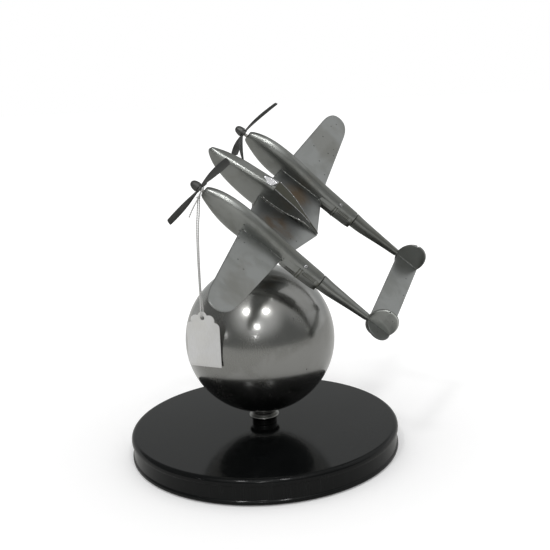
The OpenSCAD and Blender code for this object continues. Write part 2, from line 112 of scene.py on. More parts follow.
# Rows of x, half width, top, bottom, and for the pod the squareness of its upper half
POD_ROWS = [[9.2, 0.25, -0.3, -0.8, 2.4], [8.4, 1.1, 1.65, -2, 2.4], [6.4, 2, 2.61, -3.65, 2.6],
            [2.5, 3.2, 3.91, -5.86, 3], [-2, 3.7, 5.09, -7.59, 3.8], [-9, 4.05, 6.56, -9.41, 5],
            [-18, 4.2, 7.9, -10.62, 5], [-26, 4.2, 8.98, -10.99, 5], [-34, 4.1, 9.57, -10.72, 5]]
NACELLE_ROWS = [[-2.5, 1.9, 2.85, -2.72], [-4, 2.6, 3.96, -3.77], [-6, 3.1, 5.02, -4.63],
                [-9, 3.65, 6.21, -5.82], [-12, 4, 7.08, -6.95], [-18, 4.5, 8.04, -8.56],
                [-26, 4.7, 8.26, -9.44], [-34, 4.65, 7.89, -9.19], [-44, 4.5, 6.8, -7.7],
                [-57, 4.4, 5.5, -5.4], [-68, 4.1, 4.8, -4.3], [JOINT_X, 3.75, 4.2, -3.8]]
TAIL_ROWS = [[JOINT_X, 3.65, 3.8, -3.75], [-85, 3.35, 3.24, -3.6], [-93, 2.75, 2.97, -2.83],
             [-101, 2.2, 2.71, -1.99], [BOOM_END, 1.6, 2.4, -1.2]]
# Rows of x, half width of the flat top, top, half width at the wing and of x, half width, bottom
SPINE_ROWS = [[POD_BREAK, 3.9, 9.1, 4.3], [-37.5, 3.6, 8.3, 3.9], [-44, 2.75, 7.2, 3.1],
              [-47, 2.2, 6.4, 2.6], [-52.4, 1.15, 4.8, 1.6], [-57.8, 0.45, 3.1, 0.85],
              [-65, 0.2, 0.4, 0.4]]
KEEL_ROWS = [[-34, 4.05, -10.6], [-40, 3.7, -9.6], [-46, 3, -8], [-54, 1.9, -5.4], [-60, 1, -3.6]]
# The hood's plan, the height of its rim at each corner, and its peak
HOOD_PLAN = [[-22.3, 0], [-25.8, -3.4], [-28.8, -3.3], [-30.9, -0.9], [-30.9, 0.9], [-28.8, 3.3],
             [-25.8, 3.4]]
HOOD_RIM = [9, 8.4, 8.9, 11.2, 11.2, 8.9, 8.4]
HOOD_PEAK = [-26, 0, 10.5]
# Rows of radius, chord, thickness, twist
BLADE_ROWS = [[1.6, 1.3, 1.1, 22], [3.2, 1.4, 1.0, 18], [5.5, 2.0, 0.9, 13], [10, 3.3, 0.8, 5],
              [15, 4.2, 0.75, 0], [20, 4.5, 0.7, -3], [23.2, 4.3, 0.65, -4], [24.7, 3.8, 0.55, -5],
              [25, 3.3, 0.5, -5]]
# Solder beside the spine's left foot: x, distance from the middle, height, radius
SPINE_BEAD = [[-28.4, 4.2, -0.1, 0.3], [-31, 4.5, -0.1, 0.42], [-37.4, 4.0, -0.1, 0.42],
              [-44, 3.2, 0.0, 0.45], [-48, 2.4, 0.35, 0.6], [-52, 1.5, 0.7, 0.75], [-56, 0.9, 0.8, 0.7],
              [-60, 0.5, 0.2, 0.4]]
# A radiator's stations, x and reach from the boom's axis, and its grooves' lower edges, kinds and widths
RADIATOR_ROWS = [[-53.6, 2.2], [-54.8, 3.75], [-56, 5.28], [-59, 5.33], [-59.1, 5.33], [-65, 5.38],
                 [-65.1, 5.38], [-65.95, 5.4], [-66, 5.8], [-66.8, 5.8], [-66.85, 5.38], [-68, 5.35],
                 [-68.1, 5.34], [-76, 5], [-76.1, 4.98], [-78.6, 4.4]]
RADIATOR_GROOVES = [[-3.1, 1, 0.35], [-2.3, 1, 0.35], [-1.5, 1, 0.35], [0.7, 2, 0.25], [1.25, 2, 0.25],
                    [1.8, 2, 0.25]]
# A hub's section round its shaft, as radius and x
HUB_CORNERS = [[[2.1, -0.8, 0], [2.4, -0.55, 0], [2.4, 0.55, 0], [2.1, 0.8, 0], [1.1, 0.8, 0],
                [0.95, 0.65, 0], [0.95, -0.65, 0], [1.1, -0.8, 0]]]
# Each propeller's first blade, and the pitch and backward bend of its three blades, in degrees and mm
BLADES = {1: (95, (62, 40, 48), (3.4, 0, -1.7)), -1: (130, (28, 52, 68), (4.8, 3.5, 9))}

# The string's route from its knot, as in the CAD
STRING_ROUTE = [[-26, -28.7, 149], [-26.4, -29, 146], [-26.9, -29.5, 141], [-27.4, -30.1, 136],
                [-27.7, -30.8, 130], [-27.9, -31.9, 120], [-27.9, -33, 110], [-27.8, -34.1, 100],
                [-27.7, -35.1, 94], [-27.8, -36, 91], [-27.8, -36.3, 89.4], [-27.6, -35.9, 88.2],
                [-27.3, -34.9, 87.7], [-27, -33.9, 88.2], [-26.8, -33.5, 89.4], [-26.8, -33.4, 91],
                [-27, -33.4, 94], [-27.3, -33, 100], [-27.3, -32.2, 110], [-27.2, -31.3, 120],
                [-26.9, -30.3, 130], [-26.5, -29.7, 136], [-25.9, -29.1, 141], [-25.5, -28.3, 146],
                [-25.2, -27.3, 150], [-24.4, -26.7, 151.9], [-23.6, -26.7, 153], [-23, -27.3, 153.7],
                [-22.8, -28.2, 153.9], [-23.2, -29.2, 153.5], [-24, -29.6, 152.4], [-25, -29.6, 150.8],
                [-26.4, -29.8, 148], [-28.2, -29.6, 145], [-30, -29.3, 141.8], [-31.3, -29, 139.1]]
# The card's eyelet, its turn about the string, its width and its foot below the eyelet
CARD_AT = np.array([-27.3, -34.9, 87.0])
CARD_TURN = math.radians(-20)
CARD_W = 19.2
CARD_FOOT = -26.5
EYELET_R = 1.2
# The length of one turn of the string's plies, and its rings and their points
STRING_LAY = 2.6
STRING_RINGS = 1100
STRING_SIDES = 16

# The camera's place and turn, the floor, and the lamps' directions, widths in metres and powers in watts
CAMERA_AT = (0.031148, -0.474846, 0.208324)
CAMERA_TURN = (77.19, 2.7945, 1.8999)
CAMERA_LENS = 57.6
FLOOR_EDGE = 6.0
LAMPS = [[(-0.248, -0.539, 0.805), 0.17, 2.6], [(0.213, -0.547, 0.809), 0.16, 2.3],
         [(-0.01, -0.849, 0.528), 0.12, 1.2], [(-0.056, -0.95, 0.307), 0.06, 0.2],
         [(-0.76, -0.595, 0.261), 0.06, 0.2]]
LAMP_FAR = 1.6


def size_of(node, axis):
    """Length of a CAD node's box along one axis, in metres."""
    low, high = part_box(node)
    return high[axis] - low[axis]


class OrnamentSizes(bpy.types.PropertyGroup):
    """Sizes that a user would change, taken from the CAD model."""

    base_diameter: FloatProperty(
        name="Base diameter", description="Across the round black base", default=size_of("base_disc", 0),
        unit="LENGTH")
    ball_diameter: FloatProperty(
        name="Ball diameter", description="Across the mirror-polished ball", default=size_of("ball", 0),
        unit="LENGTH")
    string_diameter: FloatProperty(
        name="String diameter", description="Thickness of the ticket's string",
        default=0.0008, unit="LENGTH")
    card_thickness: FloatProperty(
        name="Card thickness", description="Thickness of the paper ticket", default=0.0004, unit="LENGTH")
    spinner_length: FloatProperty(
        name="Spinner length", description="From the hub's face to the cap's tip",
        default=0.0046, unit="LENGTH")


class OrnamentColours(bpy.types.PropertyGroup):
    """Colours of the finishes, as the photograph shows them."""

    base: FloatVectorProperty(
        name="Base", description="Polished black of the base", subtype="COLOR", size=3,
        default=(0.0033, 0.0037, 0.0038))
    ball: FloatVectorProperty(
        name="Ball", description="Mirror plating", subtype="COLOR", size=3, default=(0.31, 0.31, 0.30))
    body: FloatVectorProperty(
        name="Body", description="Hand-polished metal of pod and booms", subtype="COLOR", size=3,
        default=(0.297, 0.304, 0.292))
    wing: FloatVectorProperty(
        name="Wing", description="Satin metal of wings and tailplane", subtype="COLOR", size=3,
        default=(0.37, 0.38, 0.375))
    canopy: FloatVectorProperty(
        name="Canopy", description="Bright metal of the hood",
        subtype="COLOR", size=3, default=(0.45, 0.45, 0.46))
    propeller: FloatVectorProperty(
        name="Propellers", description="Dull dark steel",
        subtype="COLOR", size=3, default=(0.125, 0.126, 0.123))
    steel: FloatVectorProperty(
        name="Fixings", description="Plain steel of pins and fixings", subtype="COLOR", size=3,
        default=(0.45, 0.44, 0.42))
    card: FloatVectorProperty(
        name="Card", description="White paper of the ticket",
        subtype="COLOR", size=3, default=(0.65, 0.65, 0.645))
    string: FloatVectorProperty(
        name="String", description="Cotton string", subtype="COLOR", size=3, default=(0.62, 0.62, 0.61))
    felt: FloatVectorProperty(
        name="Felt", description="Felt under the base",
        subtype="COLOR", size=3, default=(0.02, 0.075, 0.045))


# Shapes as whole arrays


def on_plane(points):
    """Aeroplane axes to the CAD frame: the datum plus x forward, y left and z up along its axes."""
    return PLANE_AT + np.asarray(points, float) @ AXES


def full_turn(sides):
    """Evenly spaced angles round a circle."""
    return np.linspace(0, 2 * np.pi, sides, endpoint=False)


def stacked(x, y, z):
    """Points from three coordinates, each a number or an array that spreads to the others' shape."""
    return np.stack(np.broadcast_arrays(x, y, z), -1)


def smooth_value(rows, x, column):
    """One column at x: cubic pieces through the rows, each with the slope between its neighbours."""
    table = np.array(rows, float)
    if table[0, 0] > table[-1, 0]:
        table = table[::-1]
    xs, values = table[:, 0], table[:, column]
    before = np.maximum(np.arange(len(xs)) - 1, 0)
    after = np.minimum(np.arange(len(xs)) + 1, len(xs) - 1)
    slope = (values[after] - values[before]) / (xs[after] - xs[before])
    i = np.clip(np.searchsorted(xs, x, side="right") - 1, 0, len(xs) - 2)
    width = xs[i + 1] - xs[i]
    u = (x - xs[i]) / width
    m, n = slope[i] * width, slope[i + 1] * width
    step = values[i + 1] - values[i]
    return values[i] + u * m + u ** 2 * (3 * step - 2 * m - n) + u ** 3 * (m + n - 2 * step)


def columns_at(rows, x):
    """Every column of a table after its first, at x."""
    return [smooth_value(rows, x, column) for column in range(1, len(rows[0]))]


def smooth_path(points, count):
    """Points on the cubic pieces through a route's points, evenly from one point's number to the next."""
    rows = np.column_stack([np.arange(len(points)), points])
    return np.stack(columns_at(rows, np.linspace(0, len(points) - 1, count)), 1)


def signed_power(value, power):
    """A value's size to a power, with its sign kept."""
    return np.sign(value) * np.abs(value) ** power


def hull_rings(x, half, top, bottom, square_top, square_bottom, y, sides):
    """Superellipse rings across x: half width times cos^(2/p), and half the height times sin^(2/p)."""
    turn = full_turn(sides)
    upper = np.broadcast_to(square_top, x.shape)[:, None]
    power = 2 / np.where(np.sin(turn) > 0, upper, square_bottom)
    across = half[:, None] * signed_power(np.cos(turn), power)
    rise = ((top - bottom) / 2)[:, None] * signed_power(np.sin(turn), power)
    return stacked(x[:, None], y + across, ((top + bottom) / 2)[:, None] + rise)


def stepped(corners, others, reach):
    """The points at reach from corners on the way to other points."""
    way = others - corners
    return corners + reach * way / np.linalg.norm(way, axis=-1, keepdims=True)


def curved(start, corner, end, steps):
    """Quadratic curves that bend at a corner: (1 - t)^2 start + 2 t (1 - t) corner + t^2 end."""
    t = np.linspace(0, 1, steps + 1)[:, None]
    start, corner, end = (points[..., None, :] for points in (start, corner, end))
    return (1 - t) ** 2 * start + 2 * t * (1 - t) * corner + t ** 2 * end


def rounded_loops(corners, radius, steps=4):
    """Closed loops of corners, shape (loops, corners, 3), with every corner turned into a short curve."""
    corners = np.asarray(corners, float)
    ends = []
    for others in (np.roll(corners, 1, 1), np.roll(corners, -1, 1)):
        longest = 0.45 * np.linalg.norm(others - corners, axis=2, keepdims=True)
        ends.append(stepped(corners, others, np.minimum(radius, longest)))
    return curved(ends[0], corners, ends[1], steps).reshape(len(corners), -1, 3)


def rounded_profile(points, radius, steps=5):
    """An open profile of (r, z) corners, each inner one a short curve between two close points."""
    points = np.asarray(points, float)
    before, corner, after = points[:-2], points[1:-1], points[2:]
    shorter = np.linalg.norm([before - corner, after - corner], axis=2).min(0)
    reach = np.minimum(radius, 0.4 * shorter)[:, None]
    start, end = (stepped(corner, others, reach) for others in (before, after))
    lead_in, lead_out = (stepped(corner, others, 1.2 * reach)[:, None] for others in (before, after))
    curve = np.concatenate([lead_in, curved(start, corner, end, steps), lead_out], 1)
    return np.concatenate([points[:1], curve.reshape(-1, 2), points[-1:]])


def lathe(profile, sides):
    """A profile of (r, z) turned round the z axis: x is r cos and y is r sin of the turn."""
    profile = np.asarray(profile, float)
    turn = full_turn(sides)
    return stacked(profile[:, :1] * np.cos(turn), profile[:, :1] * np.sin(turn), profile[:, 1:])


def tube(path, radius, across, sides=12):
    """Rings along a path: radius, one value or an array of ring by side, times two directions across.

    The first is the given direction made square to the path's tangent, the second their cross product."""
    across = np.asarray(across, float)
    tangent = np.gradient(path, axis=0)
    tangent /= np.linalg.norm(tangent, axis=1, keepdims=True)
    first = across - (tangent @ across)[:, None] * tangent
    first /= np.linalg.norm(first, axis=1, keepdims=True)
    second = np.cross(tangent, first)
    turn = full_turn(sides)[None, :, None]
    spread = np.broadcast_to(np.asarray(radius, float), (len(path), sides))[..., None]
    return path[:, None] + spread * (np.cos(turn) * first[:, None] + np.sin(turn) * second[:, None])


def plate(outline, thickness, edge, centre):
    """A flat plate from a closed outline (n, 2) seen from above: rings go round its rounded rim.

    A ring at angle a has height half the thickness times sin a and is drawn in by edge times 1 - cos a."""
    angle = np.radians([-90, -90, -70, -45, -20, 0, 20, 45, 70, 90, 90])
    inward = edge * (1 - np.cos(angle))
    inward[[0, -1]] += 0.5
    arm = np.asarray(outline, float) - centre
    reach = np.linalg.norm(arm, axis=1, keepdims=True)
    flat = centre + arm * (1 - inward[:, None, None] / reach)
    return stacked(flat[..., 0], flat[..., 1], (thickness / 2 * np.sin(angle))[:, None])


# Meshes


def skin(grid, loop=False):
    """Vertices and faces of rings (m, n, 3): quads between rings, and a fan over the middle of each end.

    A ring that has shrunk to a point is that point. With loop the last ring joins the first."""
    poles = [] if loop else [grid[0].mean(0), grid[-1].mean(0)]
    if poles and np.ptp(grid[0], axis=0).max() < 1e-7:
        grid = grid[1:]
    if poles and np.ptp(grid[-1], axis=0).max() < 1e-7:
        grid = grid[:-1]
    m, n = grid.shape[:2]
    j, i = np.meshgrid(np.arange(m if loop else m - 1), np.arange(n), indexing="ij")
    nxt, side = (j + 1) % m, (i + 1) % n
    quads = np.stack([j * n + i, j * n + side, nxt * n + side, nxt * n + i], -1).reshape(-1, 4)
    triangles = [quads[:, [0, 1, 2]], quads[:, [0, 2, 3]]]
    verts = grid.reshape(-1, 3)
    faces = quads.tolist()
    if poles:
        a, b, pole = np.arange(n), (np.arange(n) + 1) % n, np.full(n, m * n)
        last = (m - 1) * n
        fans = np.concatenate([np.stack([pole, b, a], 1), np.stack([pole + 1, last + a, last + b], 1)])
        triangles.append(fans)
        faces += fans.tolist()
        verts = np.concatenate([verts, poles])
    corner = verts[np.concatenate(triangles)]
    volume = np.einsum("ij,ij->", corner[:, 0], np.cross(corner[:, 1], corner[:, 2]))
    if volume < 0:
        faces = [face[::-1] for face in faces]
    return verts, faces


def joined(shells):
    """Several closed skins as one list of vertices and faces."""
    verts, faces, start = [], [], 0
    for points, polygons in shells:
        verts.append(points)
        faces += [[start + index for index in face] for face in polygons]
        start += len(points)
    return np.concatenate(verts), faces


def make_piece(name, shell, slot, nodes=(), body="ornament", sharp=EDGE):
    """One object from a skin in millimetres, shaded smooth up to an angle, riding on its body."""
    verts, faces = shell
    mesh = bpy.data.meshes.new(name)
    mesh.from_pydata((verts * MM).tolist(), [], faces)
    mesh.polygons.foreach_set("use_smooth", np.ones(len(mesh.polygons), bool))
    mesh.set_sharp_from_angle(angle=math.radians(sharp))
    mesh.materials.append(finish(slot))
    piece = bpy.data.objects.new(name, mesh)
    bpy.context.scene.collection.objects.link(piece)
    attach(piece, body)
    if nodes:
        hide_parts(*nodes)
    return piece


def plane_piece(name, grid, slot, node, sharp=EDGE):
    """A fixed piece of the aeroplane from rings in the aeroplane's axes."""
    return make_piece(name, skin(on_plane(grid)), slot, [node], sharp=sharp)


def turned_piece(name, profile, sides, slot, node, sharp=EDGE):
    """A piece of the stand from its turned profile."""
    return make_piece(name, skin(lathe(profile, sides)), slot, [node], sharp=sharp)


def mark(piece, name, amount):
    """Keep on a piece a value from 0 to 1 at each point of its grid, for painted shade, a painted highlight
    or how deep the string's groove is.
    """
    values = np.zeros(len(piece.data.vertices))
    values[:amount.size] = amount.ravel()
    piece.data.attributes.new(name, "FLOAT", "POINT").data.foreach_set("value", values)


def stripe(x, sides, angle, spread, first, last):
    """A band along a hull: exp(-(turn - angle)^2 / spread^2) round it, between two stations."""
    turn = (np.degrees(full_turn(sides)) + 90) % 360 - 90
    along = np.clip((first - x) / 3, 0, 1) * np.clip((x - last) / 8, 0, 1)
    return along[:, None] * np.exp(-((turn - angle) / spread) ** 2)


def finish_node(node, slot):
    """Give a CAD node that is kept as it is a finish of its own."""
    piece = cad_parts[node]
    piece.data.materials.clear()
    piece.data.materials.append(finish(slot))


# Finishes


def fill(tree, socket, value):
    """Link a node's first output, or the given one, to an input, or set the input to a value."""
    if isinstance(value, bpy.types.Node):
        value = value.outputs[0]
    if isinstance(value, bpy.types.NodeSocket):
        tree.links.new(value, socket)
    else:
        socket.default_value = value


def put(tree, kind, inputs=None, **settings):
    """Add one shader node, set its properties, and fill or link its inputs."""
    item = tree.nodes.new("ShaderNode" + kind)
    for key, value in settings.items():
        setattr(item, key, value)
    for key, value in (inputs or {}).items():
        fill(tree, item.inputs[key], value)
    return item


def maths(tree, operation, first, second=0.0, clamp=False):
    """One sum on two values."""
    return put(tree, "Math", {0: first, 1: second}, operation=operation, use_clamp=clamp).outputs[0]


def times(tree, first, *others):
    """The product of two or more values."""
    for other in others:
        first = maths(tree, "MULTIPLY", first, other)
    return first


def plus(tree, first, *others):
    """The sum of two or more values."""
    for other in others:
        first = maths(tree, "ADD", first, other)
    return first


def ramp(tree, value, low, high, start=0.0, end=1.0):
    """A value between low and high turned smoothly into one between start and end."""
    inputs = {"Value": value, "From Min": low, "From Max": high, "To Min": start, "To Max": end}
    return put(tree, "MapRange", inputs, interpolation_type="SMOOTHSTEP").outputs["Result"]


def facing(tree, direction, towards):
    """The dot product of a direction and another."""
    inputs = {0: direction, 1: tuple(towards)}
    return put(tree, "VectorMath", inputs, operation="DOT_PRODUCT").outputs["Value"]


def mixed(tree, factor, first, second):
    """Two colours mixed by a factor."""
    return put(tree, "Mix", {0: factor, 6: first, 7: second}, data_type="RGBA").outputs[2]


def scaled(colour, factor=1.0, tint=(1.0, 1.0, 1.0)):
    """A darker or lighter shade of a colour, with its alpha."""
    return (*(channel * factor * shade for channel, shade in zip(colour, tint)), 1.0)


def layered(tree, colour, *layers, start=1.0):
    """A shade of a colour under other shades of it, each a mixing factor, a scale and perhaps a tint."""
    result = scaled(colour, start)
    for factor, *shade in layers:
        result = mixed(tree, factor, result, scaled(colour, *shade))
    return result


def new_group(name, numbers, output):
    """A shader node group with a Vector, number inputs and one output: its tree, inputs and output."""
    tree = bpy.data.node_groups.new(name, "ShaderNodeTree")
    tree.interface.new_socket("Vector", in_out="INPUT", socket_type="NodeSocketVector")
    for label, default in numbers.items():
        socket = tree.interface.new_socket(label, in_out="INPUT", socket_type="NodeSocketFloat")
        socket.default_value = default
    tree.interface.new_socket(output, in_out="OUTPUT", socket_type="NodeSocketFloat")
    return tree, tree.nodes.new("NodeGroupInput").outputs, tree.nodes.new("NodeGroupOutput").inputs[0]


def stretched_noise(tree, given, turn, scale, detail):
    """Noise on coordinates that are turned and then scaled along their axes."""
    turned = put(tree, "Mapping", {"Vector": given["Vector"], "Rotation": turn, "Scale": scale})
    inputs = {"Vector": turned, "Scale": given["Scale"], "Detail": detail}
    return put(tree, "TexNoise", inputs).outputs["Fac"]


def scratch_group():
    """Fine polishing scratches: thin level lines of noise that is stretched along three directions."""
    tree, given, result = new_group("Polishing scratches", {"Scale": 900.0, "Width": 0.03}, "Lines")
    total = 0.0
    for turn, stretch in (((0.3, 0.9, 0.5), 0.05), ((1.2, -0.4, 1.9), 0.07), ((-0.8, 0.2, 2.6), 0.04)):
        noise = stretched_noise(tree, given, turn, (1.0, 1.0, stretch), 1.5)
        away = maths(tree, "ABSOLUTE", maths(tree, "SUBTRACT", noise, 0.5))
        total = maths(tree, "ADD", ramp(tree, away, 0.0, given["Width"], 1.0, 0.0), total, clamp=True)
    tree.links.new(total, result)
    return tree


def pit_group():
    """Small pits: the middles of a share of Voronoi cells."""
    tree, given, result = new_group("Pits", {"Scale": 350.0, "Size": 0.2, "Share": 0.3}, "Pits")
    inputs = {"Vector": given["Vector"], "Scale": given["Scale"], "Randomness": 1.0}
    cells = put(tree, "TexVoronoi", inputs)
    near = ramp(tree, cells.outputs["Distance"], times(tree, given["Size"], 0.5), given["Size"], 1.0, 0.0)
    lot = put(tree, "SeparateColor", {"Color": cells.outputs["Color"]})
    tree.links.new(times(tree, near, maths(tree, "LESS_THAN", lot, given["Share"])), result)
    return tree


def cloud_group():
    """Tarnish clouds: soft noise between two levels."""
    tree, given, result = new_group("Tarnish clouds", {"Scale": 60.0, "Low": 0.45, "High": 0.65}, "Cloud")
    noise = put(tree, "TexNoise", {"Vector": given["Vector"], "Scale": given["Scale"], "Detail": 3.0,
                                   "Roughness": 0.55, "Distortion": 0.4})
    tree.links.new(ramp(tree, noise.outputs["Fac"], given["Low"], given["High"]), result)
    return tree


def fibre_group():
    """Short fibres: the sum of fine noise stretched along two directions."""
    tree, given, result = new_group("Fibres", {"Scale": 2500.0, "Stretch": 0.15}, "Fibres")
    total = 0.0
    for turn in ((0.4, 0.7, 0.2), (1.5, -0.6, 1.1)):
        scale = put(tree, "CombineXYZ", {0: 1.0, 1: 1.0, 2: given["Stretch"]})
        total = plus(tree, times(tree, stretched_noise(tree, given, turn, scale, 2.0), 0.5), total)
    tree.links.new(total, result)
    return tree


GROUPS = {}


def shared(tree, kind, vector, **values):
    """Place one of the shared effects with its own values, and give back its output."""
    if not GROUPS:
        GROUPS.update(scratches=scratch_group(), pits=pit_group())
        GROUPS.update(clouds=cloud_group(), fibres=fibre_group())
    return put(tree, "Group", {"Vector": vector, **values}, node_tree=GROUPS[kind]).outputs[0]


def bare_tree(owner):
    """The emptied node tree of a material or a world."""
    owner.use_nodes = True
    owner.node_tree.nodes.clear()
    return owner.node_tree


FINISHES = {}


def new_material(slot, inputs):
    """An empty material for a record slot: its tree, its Principled node and the object coordinates."""
    FINISHES[slot] = bpy.data.materials.new(slot)
    tree = bare_tree(FINISHES[slot])
    shader = put(tree, "BsdfPrincipled", inputs)
    put(tree, "OutputMaterial", {"Surface": shader})
    return tree, shader, put(tree, "TexCoord").outputs["Object"]


def dress(tree, shader, colour, roughness, height, distance):
    """Give the shader its colour, its roughness and a bump, a height from 0 to 1 times a distance in mm."""
    normal = put(tree, "Bump", {"Height": height, "Strength": 1.0, "Distance": distance * MM})
    for label, value in (("Base Color", colour), ("Roughness", roughness), ("Normal", normal)):
        fill(tree, shader.inputs[label], value)


def marked(tree, name):
    """What mark keeps on a piece under a name."""
    return put(tree, "Attribute", attribute_name=name).outputs["Fac"]


def along_axis(tree, coords, axis):
    """Distance of a point from the aeroplane's datum along one of its axes, in millimetres."""
    offset = put(tree, "VectorMath", {0: coords, 1: tuple(PLANE_AT * MM)}, operation="SUBTRACT")
    return maths(tree, "DIVIDE", facing(tree, offset.outputs[0], axis), MM)


def painted_light_places(tree, coords, painted_light_between_booms, outer):
    """Layers of painted light on the aeroplane's metal: between the booms, at the wing's roots, on marked
    points and outside the fins.

    Between the booms, from the hood to near the trailing edge, the colour is scaled as painted shade on the
    wing and painted light on the body. A brown painted reflection and shade at the wing's roots fades with
    the distance |x + 44| + ||y| - 15| from the middle of the wing's root."""
    x = along_axis(tree, coords, AXES[0])
    y = maths(tree, "ABSOLUTE", along_axis(tree, coords, AXES[1]))
    # Painted shade on the wing and painted light on the body, between the booms
    behind_hood, before_edge = ramp(tree, x, -24.0, -33.0), ramp(tree, x, -62.0, -50.0)
    between_booms_mask = times(tree, behind_hood, before_edge, ramp(tree, y, 25.5, 23.5))
    # A brown painted reflection and shade in the corners at the wing's roots
    away = plus(tree, maths(tree, "ABSOLUTE", plus(tree, x, 44.0)),
                maths(tree, "ABSOLUTE", maths(tree, "SUBTRACT", y, 15.0)))
    uneven = shared(tree, "clouds", coords, Scale=110.0, Low=0.3, High=0.6)
    brown = times(tree, ramp(tree, away, 15.0, 3.0), uneven, 0.95)
    # Painted highlight and painted shade, as marked on each piece
    bright, dull = (marked(tree, name) for name in ("bright", "dull"))
    # Painted reflection outside the fins: lighter on the fins' outer faces, darker on the tail tips
    outside = times(tree, ramp(tree, x, -110.0, -111.5), ramp(tree, y, 29.4, 29.7))
    return [(between_booms_mask, painted_light_between_booms), (brown, painted_light_between_booms, (0.85, 0.62, 0.42)), (bright, 2.1),
            (dull, 0.3, (1.05, 1.02, 0.85)), (outside, outer)]


def metal(slot, colour, rough, spread, stain=0.0, pits=0.0, scratch=0.0006, cloud_scale=60.0,
          painted_light_between_booms=None, outer=None, coat=0.0, painted_shade_below=None):
    """Polished metal: clouds of tarnished tone, stains, pits and fine scratches over one colour.

    shelter and outer scale the colour between the booms and outside the fins as painted shade, painted
    light and painted reflection, coat adds a crisper shine, and below the height painted_shade_below, in
    millimetres, the colour is darkened as painted shade."""
    inputs = {"Metallic": 1.0, "Coat Weight": coat, "Coat Roughness": 0.09}
    tree, shader, coords = new_material(slot, inputs)
    clouds = shared(tree, "clouds", coords, Scale=cloud_scale)
    layers = [(clouds, 0.86, (1.0, 1.0, 0.98))]
    if stain:
        patches = shared(tree, "clouds", coords, Scale=38.0, Low=0.56, High=0.7)
        layers.append((times(tree, patches, stain), 0.62, (1.06, 1.0, 0.9)))
    # Painted shade and painted light between the booms, and painted reflection outside the fins
    if painted_light_between_booms:
        layers += painted_light_places(tree, coords, painted_light_between_booms, outer)
    # Painted shade on the lower part, near the base
    if painted_shade_below:
        height = put(tree, "SeparateXYZ", {0: coords}).outputs[2]
        layers.append((ramp(tree, height, (painted_shade_below + 0.6) * MM, painted_shade_below * MM), 0.12))
    worn = times(tree, shared(tree, "scratches", coords), 0.5)
    roughness = plus(tree, rough, times(tree, clouds, spread), times(tree, worn, spread))
    if pits:
        dots = shared(tree, "pits", coords, Share=pits)
        layers.append((times(tree, dots, 0.7), 0.25))
        roughness = plus(tree, roughness, times(tree, dots, 0.3))
    height = maths(tree, "SUBTRACT", 1.0, worn)
    dress(tree, shader, layered(tree, colour, *layers), roughness, height, scratch)


def black_gloss(colour):
    """Polished black of the base: faint dust, a few hairline scratches and slightly uneven gloss."""
    tree, shader, coords = new_material("base_black", {"IOR": 1.3})
    dust = shared(tree, "clouds", coords, Scale=25.0, Low=0.5, High=0.75)
    lines = shared(tree, "scratches", coords, Scale=260.0, Width=0.006)
    colours = layered(tree, colour, (times(tree, dust, 0.5), 1.7), (times(tree, lines, 0.35), 4.0))
    roughness = plus(tree, 0.09, times(tree, dust, 0.06), times(tree, lines, 0.15))
    dress(tree, shader, colours, roughness, maths(tree, "SUBTRACT", 1.0, lines), 0.002)


def paper(colour):
    """Thin card: fibres, soft cockling and a little yellowing."""
    tree, shader, coords = new_material("card", {"Specular IOR Level": 0.25})
    fibres = shared(tree, "fibres", coords, Scale=3000.0)
    age = shared(tree, "clouds", coords, Scale=90.0, Low=0.4, High=0.7)
    colours = layered(tree, colour, (times(tree, age, 0.6), 0.93, (1.0, 0.99, 0.95)),
                      (ramp(tree, fibres, 0.42, 0.62, 0.0, 0.25), 0.8))
    dress(tree, shader, colours, ramp(tree, fibres, 0.3, 0.7, 0.7, 0.9),
          plus(tree, times(tree, fibres, 0.3), age), 0.03)


def cotton(colour):
    """Two-ply cotton string: painted shade in the groove between the plies, with fine fibres."""
    tree, shader, coords = new_material("string", {"Sheen Weight": 0.2, "Specular IOR Level": 0.2})
    groove = marked(tree, "groove")
    fibres = shared(tree, "fibres", coords, Scale=5000.0, Stretch=0.3)
    # Painted shade in the groove between the plies
    colours = layered(tree, colour, (ramp(tree, groove, 0.3, 1.0, 0.0, 0.7), 0.45),
                      (ramp(tree, fibres, 0.4, 0.65, 0.0, 0.35), 0.7))
    dress(tree, shader, colours, ramp(tree, fibres, 0.3, 0.7, 0.75, 0.95), fibres, 0.05)


def wool_felt(colour):
    """Felt: matted fibres with soft light and dark tufts."""
    tree, shader, coords = new_material("felt", {"Sheen Weight": 0.3})
    fibres = shared(tree, "fibres", coords, Scale=1800.0, Stretch=0.25)
    tufts = shared(tree, "clouds", coords, Scale=400.0)
    colours = layered(tree, colour, (ramp(tree, fibres, 0.35, 0.65), 1.4), (times(tree, tufts, 0.4), 0.7),
                      start=0.6)
    dress(tree, shader, colours, ramp(tree, fibres, 0.3, 0.7, 0.85, 1.0), fibres, 0.3)


